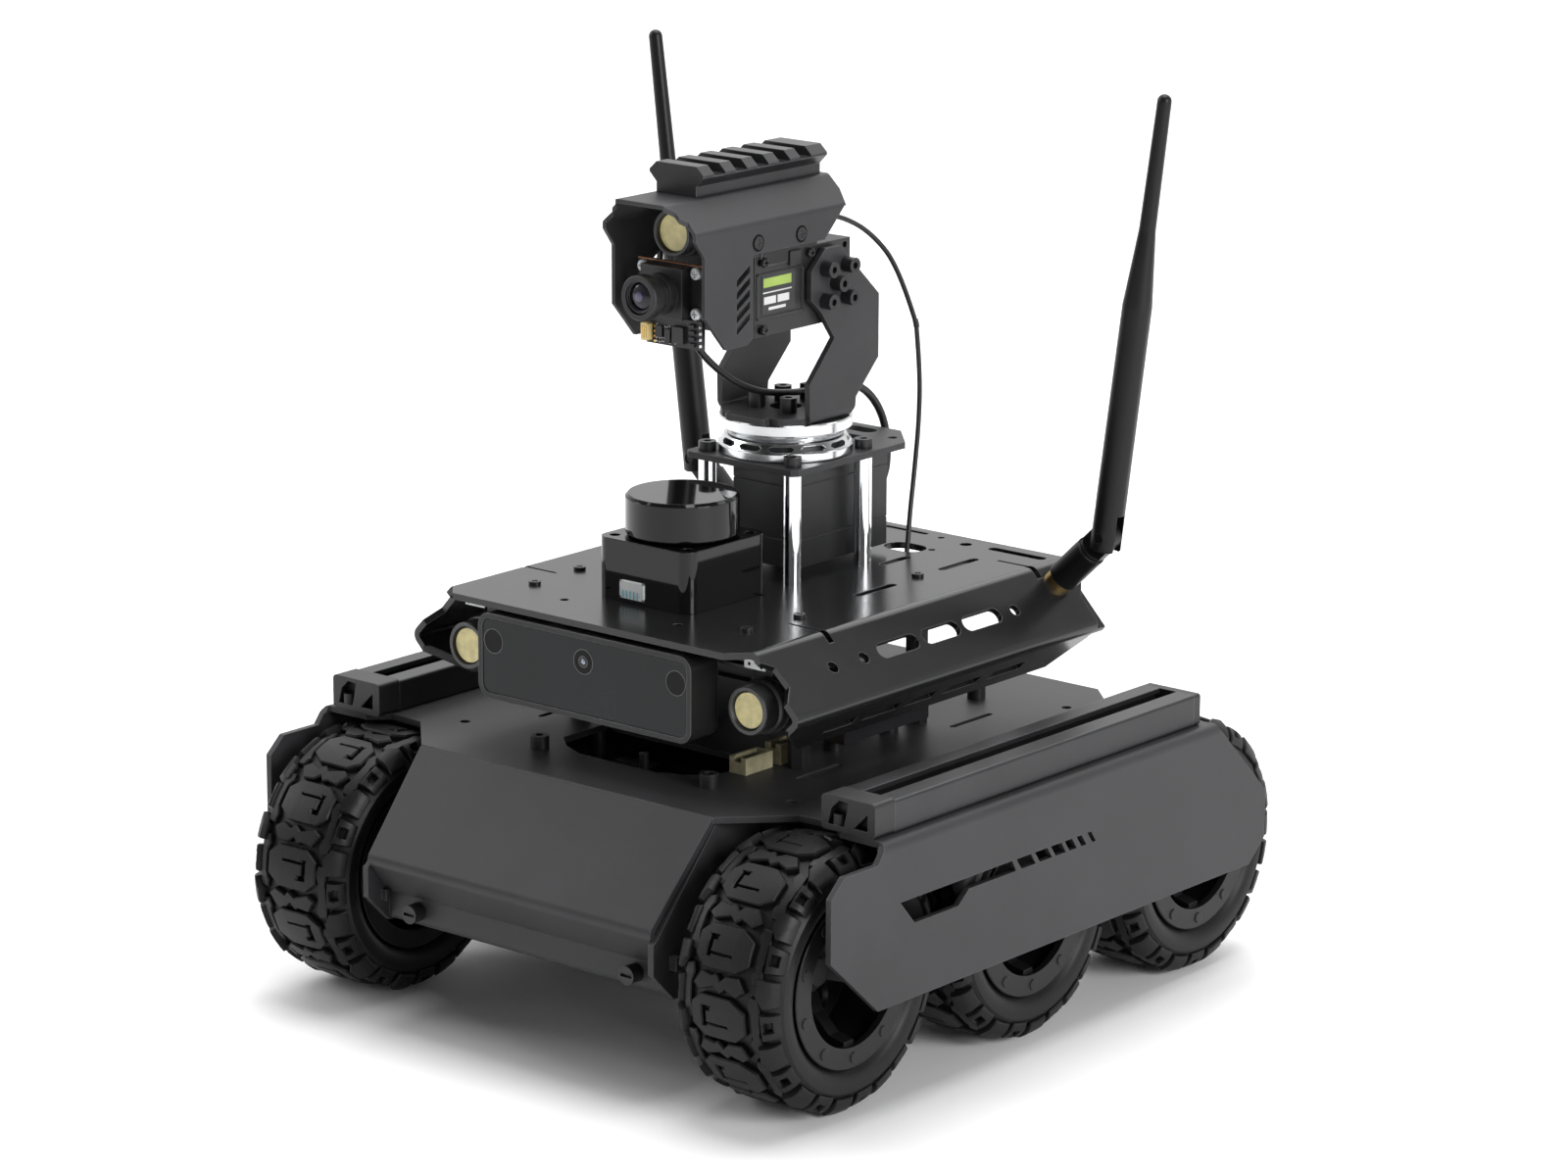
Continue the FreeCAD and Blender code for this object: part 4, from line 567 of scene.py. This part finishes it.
def tyre_mesh():
    bm = bmesh.new()
    carcass(bm)
    for k in range(PITCHES):
        at = PITCH * k
        half = PITCH / 2
        tread_block(bm, OCTAGON, at, 1, [ELBOW])
        tread_block(bm, BOW, at + half, 1)
        for side, push in ((1, 0.0), (-1, half * 0.6)):
            tread_block(bm, SIDE_PLATE, at + push, side, top=PLATE_TOP)
            tread_block(bm, STUD_LUG, at + push, side, [STUD_PIT], top=STUD_TOP)
            tread_block(bm, PLAIN_LUG, at + half + push, side, top=LUG_TOP)
    mesh = bpy.data.meshes.new("tyre")
    bmesh.ops.recalc_face_normals(bm, faces=bm.faces[:])
    bm.to_mesh(mesh)
    bm.free()
    mesh.materials.append(RUBBER)
    mesh.shade_smooth()
    mesh.set_sharp_from_angle(angle=math.radians(28))
    return mesh


def add_tyres():
    shared = tyre_mesh()
    for row_index, row in enumerate(ROWS):
        for hand in HANDS:
            node = "tyre_" + row + "_" + hand
            low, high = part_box(node)
            centre = (low + high) / 2
            mesh = shared.copy()
            turn = Matrix.Rotation(math.radians(FIRST_TURN + ROW_TURN * row_index), 4, "X")
            if hand == "left":
                turn = Matrix.Rotation(math.pi, 4, "Z") @ turn
            mesh.transform(turn)
            piece = new_object(node + "_rubber", mesh)
            piece.location = centre
            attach(piece, "wheel_" + row + "_" + hand)
            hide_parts(node)


add_tyres()


# ------------------------------------------------------------------ small details
def plain_box(name, low, high, mat, body, slot, bevel=0.1):
    """Small box between two corners given in millimetres."""
    bm = box_mesh(mm(*low), mm(*high), bevel * MM)
    piece = finish_mesh(bm, name, mat, 40)
    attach(piece, body)


def joined_boxes(name, corners, mat, body, bevel=0.05):
    """Several small boxes in one piece; corners holds (low, high) pairs in millimetres."""
    bm = bmesh.new()
    for low, high in corners:
        part = box_mesh(mm(*low), mm(*high), bevel * MM, 1)
        mesh = bpy.data.meshes.new("part")
        part.to_mesh(mesh)
        part.free()
        bm.from_mesh(mesh)
        bpy.data.meshes.remove(mesh)
    piece = finish_mesh(bm, name, mat, 40)
    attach(piece, body)


def turned(name, profile, place, direction, mat, body, steps=64):
    """Turned piece: (radius, height) points in millimetres, standing on place along direction."""
    bm = lathe([(r * MM, h * MM) for r, h in profile], steps)
    bm.transform(facing(direction, mm(*place)))
    piece = finish_mesh(bm, name, mat, 35)
    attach(piece, body)


def cross_outline(reach, half):
    """Outline of a screwdriver cross, anticlockwise."""
    arm = [(reach, -half), (reach, half), (half, half)]
    points = []
    for k in range(4):
        turn = Matrix.Rotation(math.pi / 2 * k, 2)
        points += [turn @ Vector(p) for p in arm]
    return points


def cross_head(bm, place, direction, radius, height, crown=0.25):
    """Pan head with a cross recess, added to bm."""
    steps = 32
    top = radius - crown
    rim = []
    for k in range(steps):
        w = 2 * math.pi * k / steps
        rim.append(Vector((top * math.cos(w), top * math.sin(w))))
    cross = cross_outline(radius * 0.66, radius * 0.16)
    part = bmesh.new()
    flat = [part.verts.new((p.x, p.y, height)) for p in rim + cross]
    loops = [[Vector((p.x, p.y, 0)) for p in rim], [Vector((p.x, p.y, 0)) for p in cross]]
    for tri in tessellate_polygon(loops):
        part.faces.new([flat[i] for i in tri])
    floor = [part.verts.new((p.x, p.y, height * 0.35)) for p in cross]
    part.faces.new(floor)
    count = len(cross)
    for k in range(count):
        n = (k + 1) % count
        part.faces.new((flat[steps + k], flat[steps + n], floor[n], floor[k]))
    lines = [flat[:steps]]
    for r, z in ((radius, height - crown), (radius, 0.0)):
        lines.append([part.verts.new((p.x / top * r, p.y / top * r, z)) for p in rim])
    for a, b in zip(lines, lines[1:]):
        for k in range(steps):
            n = (k + 1) % steps
            part.faces.new((a[k], a[n], b[n], b[k]))
    bmesh.ops.recalc_face_normals(part, faces=part.faces[:])
    part.transform(facing(direction, mm(*place)) @ Matrix.Scale(MM, 4))
    mesh = bpy.data.meshes.new("part")
    part.to_mesh(mesh)
    part.free()
    bm.from_mesh(mesh)
    bpy.data.meshes.remove(mesh)


def tilt_servo_details():
    """Generic label, its frame and the plain pads on the servo's side."""
    body = "tilt_head"
    low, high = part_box("tilt_servo")
    face, y0, z0 = high.x / MM, low.y / MM, low.z / MM

    def patch(inner, outer, start, end):
        """Box corners on the servo's side; start and end are taken from its lower front corner."""
        return (face + inner, y0 + start[0], z0 + start[1]), (face + outer, y0 + end[0], z0 + end[1])

    film = patch(0.02, 0.14, (3.3, 6.75), (18.9, 18.65))
    plain_box("servo_label", *film, LABEL, body, "servo_plastic", 0.04)
    band = patch(0.1, 0.18, (4.1, 14.75), (17.1, 17.55))
    plain_box("label_band", *band, LABEL_GREEN, body, "servo_plastic", 0.02)
    bars = [((3.9, 12.95), (17.3, 13.35)), ((4.3, 9.55), (9.9, 11.85)),
            ((10.7, 9.55), (16.1, 11.85)), ((6.5, 7.65), (14.5, 8.55))]
    joined_boxes("label_bars", [patch(0.1, 0.18, start, end) for start, end in bars],
                 LABEL_PALE, body, 0.02)
    left, right, bottom, top, edge = 0.9, 22.9, 5.25, 19.25, 0.7
    frame_bars = [((left, bottom), (right, bottom + edge)), ((left, top - edge), (right, top)),
                  ((left, bottom), (left + edge, top)), ((right - edge, bottom), (right, top))]
    joined_boxes("servo_frame", [patch(-0.1, 0.3, start, end) for start, end in frame_bars],
                 SERVO, body, 0.1)
    tab = patch(-0.1, 0.45, (2.7, 21.25), (15.3, 26.05))
    plain_box("servo_tab", *tab, CAM_SHELL, body, "servo_plastic", 0.15)
    step = patch(-0.1, 0.9, (15.9, 19.85), (21.1, 24.45))
    plain_box("servo_step", *step, SERVO, body, "servo_plastic", 0.2)


# Painted shadow: a thin near-black ring laid just above the shell round each side screw, in place of the
# shade in the groove.
SHADOW_RING = [(1.95, 0.0), (1.95, 0.07), (2.6, 0.07), (2.6, 0.0)]
# (y, z) of the side screws from the lower front corner of the shell and of the servo
SHELL_SCREWS = ((32.5, 30.4), (52.6, 30.4))
SERVO_SCREWS = ((3.8, 22.65), (25.5, 22.65), (3.8, 1.95))
# the board's screws stand level with the camera's back, this far up from its lower edge
BOARD_SCREW_X = 10.5
BOARD_SCREW_RISE = (1.7, 13.9)


def head_screw_set():
    """Cross head screws of the head, in place of the plain CAD ones."""
    body = "tilt_head"
    camera_low, camera_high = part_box("cam_module")
    shell_low, shell_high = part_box("head_housing")
    servo_low, servo_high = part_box("tilt_servo")
    steel = bmesh.new()
    for x in (-BOARD_SCREW_X, BOARD_SCREW_X):
        for rise in BOARD_SCREW_RISE:
            place = (x, camera_high.y / MM, camera_low.z / MM + rise)
            cross_head(steel, place, (0, -1, 0), 1.8, 1.5, 0.4)
    pale = finish_mesh(steel, "board_screws", STEEL, 35)
    black = bmesh.new()
    for side, hand in SIDES:
        for k, (y, z) in enumerate(SHELL_SCREWS):
            place = (side * shell_high.x / MM, shell_low.y / MM + y, shell_low.z / MM + z)
            turned("screw_shadow_ring_" + hand + "_" + str(k), SHADOW_RING, place, (side, 0, 0), PAINTED_SHADE, body,
                   40)
            cross_head(black, place, (side, 0, 0), 2.0, 0.35, 0.12)
        for y, z in SERVO_SCREWS:
            place = (side * servo_high.x / MM, servo_low.y / MM + y, servo_low.z / MM + z)
            cross_head(black, place, (side, 0, 0), 1.5, 1.6, 0.35)
    dark = finish_mesh(black, "shell_screws", SCREW, 35)
    for piece in (pale, dark):
        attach(piece, body)
        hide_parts("head_screws")


def camera_details():
    """Glass with a painted purple glint in its middle, rings and copper board edges round the head
    camera.
    """
    body = "tilt_head"
    low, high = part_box("cam_module")
    z = (low.z + high.z) / 2 / MM
    front = low.y / MM
    turned("camera_glass", [(4.4, 0.2), (4.2, 0.75), (3.4, 1.3), (2.2, 1.65), (1.0, 1.8), (0.0, 1.85)],
           (0, front + 2.2, z), (0, -1, 0), LENS, body)
    rings = [(5.05, 0.4), (5.05, 1.7), (4.6, 1.7), (4.6, 1.1), (4.3, 1.1), (4.3, 0.4)]
    turned("camera_rings", rings, (0, front + 2.2, z), (0, -1, 0), CASE, body)
    turned("camera_purple_glint", [(1.5, 0.0), (1.5, 1.9), (1.0, 1.98), (0.0, 1.95)], (0, front + 2.15, z),
           (0, -1, 0), PURPLE_GLINT, body)
    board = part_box("head_boards")[1]
    half, back, top = board.x / MM, board.y / MM, board.z / MM
    face = back - 1.6
    edges = [((-half - 0.05, face, top - 0.1), (half + 0.05, back, top + 0.25)),
             ((half - 0.05, face, top - 16.2), (half + 0.25, back, top + 0.2))]
    joined_boxes("board_edges", edges, COPPER, body, 0.03)


def lamp_board_details():
    """Plug, pins and small parts on the lamp driver board."""
    body = "tilt_head"
    low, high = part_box("head_boards")
    face = low.y / MM
    wall = 0.4
    x0, x1 = low.x / MM + 3.6, low.x / MM + 6.5
    z0, z1 = low.z / MM + 0.9, low.z / MM + 6.3
    back = face + 2.2
    shell = [((x0, face - 0.1, z0), (x1, back, z0 + wall)), ((x0, face - 0.1, z1 - wall), (x1, back, z1)),
             ((x0, face - 0.1, z0), (x0 + wall, back, z1)), ((x1 - wall, face - 0.1, z0), (x1, back, z1)),
             ((x0 + 0.2, face - 0.06, z0 + 0.2), (x1 - 0.2, face + 0.1, z1 - 0.2))]
    joined_boxes("lamp_plug", shell, CREAM_GOLD, body, 0.08)
    pins = [((x0 + 0.6 + 0.7 * k, face - 0.25, z0 + 0.9), (x0 + 0.9 + 0.7 * k, face, z1 - 0.9))
            for k in range(3)]
    pins += [((x1 + 0.6, back - 0.25, z1 - 1.3 - 1.5 * k), (x1 + 1.5, back, z1 - 0.7 - 1.5 * k))
             for k in range(4)]
    joined_boxes("lamp_plug_pins", pins, BRASS, body, 0.02)
    columns = 8
    spread = random.Random(7)
    parts = []
    pads = []
    for k in range(2 * columns):
        x = x1 + 1.7 + (k % columns) * 1.05 + spread.uniform(-0.15, 0.15)
        z = z0 + 0.3 + 3.61 * (k // columns) + spread.uniform(-0.3, 0.3)
        parts.append(((x, back - 0.5, z), (x + 0.42, back, z + 0.9)))
        pads.append(((x, back - 0.42, z - 0.22), (x + 0.42, back, z)))
        pads.append(((x, back - 0.42, z + 0.9), (x + 0.42, back, z + 1.12)))
    joined_boxes("lamp_board_parts", parts, SMALL_PART, body, 0.04)
    joined_boxes("lamp_board_pads", pads, STEEL, body, 0.02)
    side = high.x / MM
    legs = [((side - 0.4, back - 0.9, z0 + 0.2 + 1.9 * k), (side - 0.1, back, z0 + 1.0 + 1.9 * k))
            for k in range(4)]
    joined_boxes("lamp_board_legs", legs, STEEL, body, 0.02)


def depthcam_details():
    """Fine rings round the three windows of the depth camera and a glint in the middle one."""
    low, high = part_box("depthcam_lenses")
    face = low.y / MM
    height = (low.z + high.z) / 2 / MM
    lens_r = (high.z - low.z) / 2 / MM
    reach = high.x / MM - lens_r
    ring = [(lens_r, 0.0), (lens_r, 0.08), (lens_r - 0.22, 0.08), (lens_r - 0.22, 0.0)]
    for k, x in enumerate((-reach, 0.0, reach)):
        turned("depth_ring_" + str(k), ring, (x, face, height), (0, -1, 0), RING_LINE, "chassis",
               48)
    turned("depth_lens_step", [(1.9, 0.0), (1.9, 0.12), (1.6, 0.12), (1.5, 0.05), (0.0, 0.12)],
           (0.0, face, height), (0, -1, 0), CAM_SHELL, "chassis", 40)
    turned("depth_lens_eye", [(0.85, 0.08), (0.6, 0.26), (0.0, 0.34)], (0.0, face, height), (0, -1, 0),
           EYE, "chassis", 32)


def lamp_gussets():
    """Corner plates hung under the deck above each headlight, coloured white as a painted reflection,
    with dark dots painted for the shade in their small holes.
    """
    low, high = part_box("headlights")
    face = low.y / MM + 3.6
    near = high.x / MM - 12.5
    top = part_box("upper_deck")[1].z / MM - 1.9
    for side, hand in SIDES:
        x0, x1 = sorted((side * near, side * (near + 8.0)))
        # Painted reflection: the plate is plain white in place of the bright floor its metal reflects
        # from the shadow under the deck.
        plate = [((x0, face, top - 5.0), (x1, face + 0.6, top))]
        joined_boxes("lamp_gusset_" + hand, plate, WHITE_PLUG_AND_PAINTED_REFLECTION, "chassis", 0.15)
        # Painted shade: dark dots where the small holes show shade.
        dots = []
        for out, drop in ((2.0, 3.6), (4.6, 2.8), (6.6, 4.0)):
            x = near + out
            dots.append(((side * x - 0.5, face - 0.05, top - drop - 0.5),
                         (side * x + 0.5, face + 0.1, top - drop + 0.5)))
        joined_boxes("gusset_hole_shade_" + hand, dots, PAINTED_SHADE, "chassis", 0.05)


def lidar_plug_details():
    """White shell and thin contacts of the range finder's plug."""
    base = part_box("lidar_base")[0]
    front, bottom = base.y / MM - 0.7, base.z / MM
    back = front + 3.6
    x0, x1, z0, z1 = -8.5, 1.1, bottom + 1.4, bottom + 7.0
    corners = [((x0, front, z0), (x1, back, z0 + 0.7)), ((x0, front, z1 - 0.6), (x1, back, z1)),
               ((x0, front, z0), (x0 + 0.8, back, z1)), ((x1 - 0.8, front, z0), (x1, back, z1)),
               ((x0 + 0.2, front + 0.05, z0 + 0.2), (x1 - 0.2, back - 0.2, z1 - 0.2))]
    joined_boxes("range_plug_shell", corners, WHITE_PLUG_AND_PAINTED_REFLECTION, "chassis", 0.1)
    contacts = []
    for k in range(5):
        x = x0 + 1.3 + 1.45 * k
        contacts.append(((x, front - 0.1, z0 + 0.2), (x + 0.35, front + 0.3, z0 + 2.6)))
    joined_boxes("range_plug_contacts", contacts, CONTACT, "chassis", 0.03)


DRUM_R = 17.5
DRUM_WALL = 0.2
DRUM_SPANS = (("bearing_lower", "chassis", 3.1, 4.9), ("bearing_upper", "pan_fork", 6.8, 7.6))


def bearing_details():
    """Dark drums seen through the slots of the two bearing rings."""
    for node, body, z0, z1 in DRUM_SPANS:
        low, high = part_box(node)
        place = (0, (low.y + high.y) / 2 / MM, low.z / MM)
        inner = DRUM_R - DRUM_WALL
        ring = [(inner, z0), (DRUM_R, z0), (DRUM_R, z1), (inner, z1)]
        turned(node + "_drum", ring, place, (0, 0, 1), CASE, body, 96)


tilt_servo_details()
head_screw_set()
camera_details()
lamp_board_details()
depthcam_details()
lamp_gussets()
lidar_plug_details()
bearing_details()


# ---------------------------------------------------------------------- the floor
WORLD_FRONT = 0.32
WORLD_BACK = 1.0


def add_stage():
    bm = bmesh.new()
    bmesh.ops.create_grid(bm, x_segments=2, y_segments=2, size=6.0)
    mat = material("paper_floor", (0.95, 0.95, 0.95), 0.7, mottle=0.01, grain=40, grain_depth=0.0)
    floor = finish_mesh(bm, "floor", mat)


def add_world():
    """Soft studio: bright behind the rover, dimmer overhead and on the camera's side."""
    world = bpy.data.worlds.new("studio")
    bpy.context.scene.world = world
    world.use_nodes = True
    tree = world.node_tree
    link = tree.links.new
    glow = tree.nodes["Background"]
    way = tree.nodes.new("ShaderNodeTexCoord")
    parts = tree.nodes.new("ShaderNodeSeparateXYZ")
    link(way.outputs["Generated"], parts.inputs["Vector"])
    height = tree.nodes.new("ShaderNodeValToRGB")
    height.color_ramp.interpolation = "EASE"
    height.color_ramp.elements[0].position = 0.25
    height.color_ramp.elements[0].color = (1.0, 1.0, 1.0, 1)
    height.color_ramp.elements[1].position = 0.8
    height.color_ramp.elements[1].color = (0.22, 0.22, 0.22, 1)
    link(parts.outputs["Z"], height.inputs["Fac"])
    back = tree.nodes.new("ShaderNodeVectorMath")
    back.operation = "DOT_PRODUCT"
    back.inputs[1].default_value = (-math.sin(AZIMUTH), math.cos(AZIMUTH), 0)
    link(way.outputs["Generated"], back.inputs[0])
    side = tree.nodes.new("ShaderNodeMapRange")
    side.inputs["From Min"].default_value = -0.6
    side.inputs["From Max"].default_value = 0.7
    side.inputs["To Min"].default_value = WORLD_FRONT
    side.inputs["To Max"].default_value = WORLD_BACK
    link(back.outputs["Value"], side.inputs["Value"])
    link(height.outputs["Color"], glow.inputs["Color"])
    link(side.outputs["Result"], glow.inputs["Strength"])


def area_light(name, place, target, size, power):
    data = bpy.data.lights.new(name, "AREA")
    data.shape = "RECTANGLE"
    data.size, data.size_y = size
    data.energy = power
    lamp = new_object(name, data)
    lamp.matrix_world = facing(Vector(place) - Vector(target), Vector(place))


TARGET = (0.0, 0.0, 0.12)
add_stage()
add_world()
area_light("key_left", (-1.6, -0.7, 1.0), TARGET, (0.8, 0.8), 9.0)
area_light("side_right", (1.9, -0.2, 0.8), TARGET, (0.9, 0.9), 30.0)
area_light("top_soft", (0.0, 0.3, 1.9), TARGET, (1.2, 1.2), 24.0)
area_light("backdrop_wash", (-1.3, 1.7, 2.3), (-1.2, 1.6, 0.0), (4.2, 3.4), 85.0)
bpy.context.scene.view_settings.view_transform = "Standard"
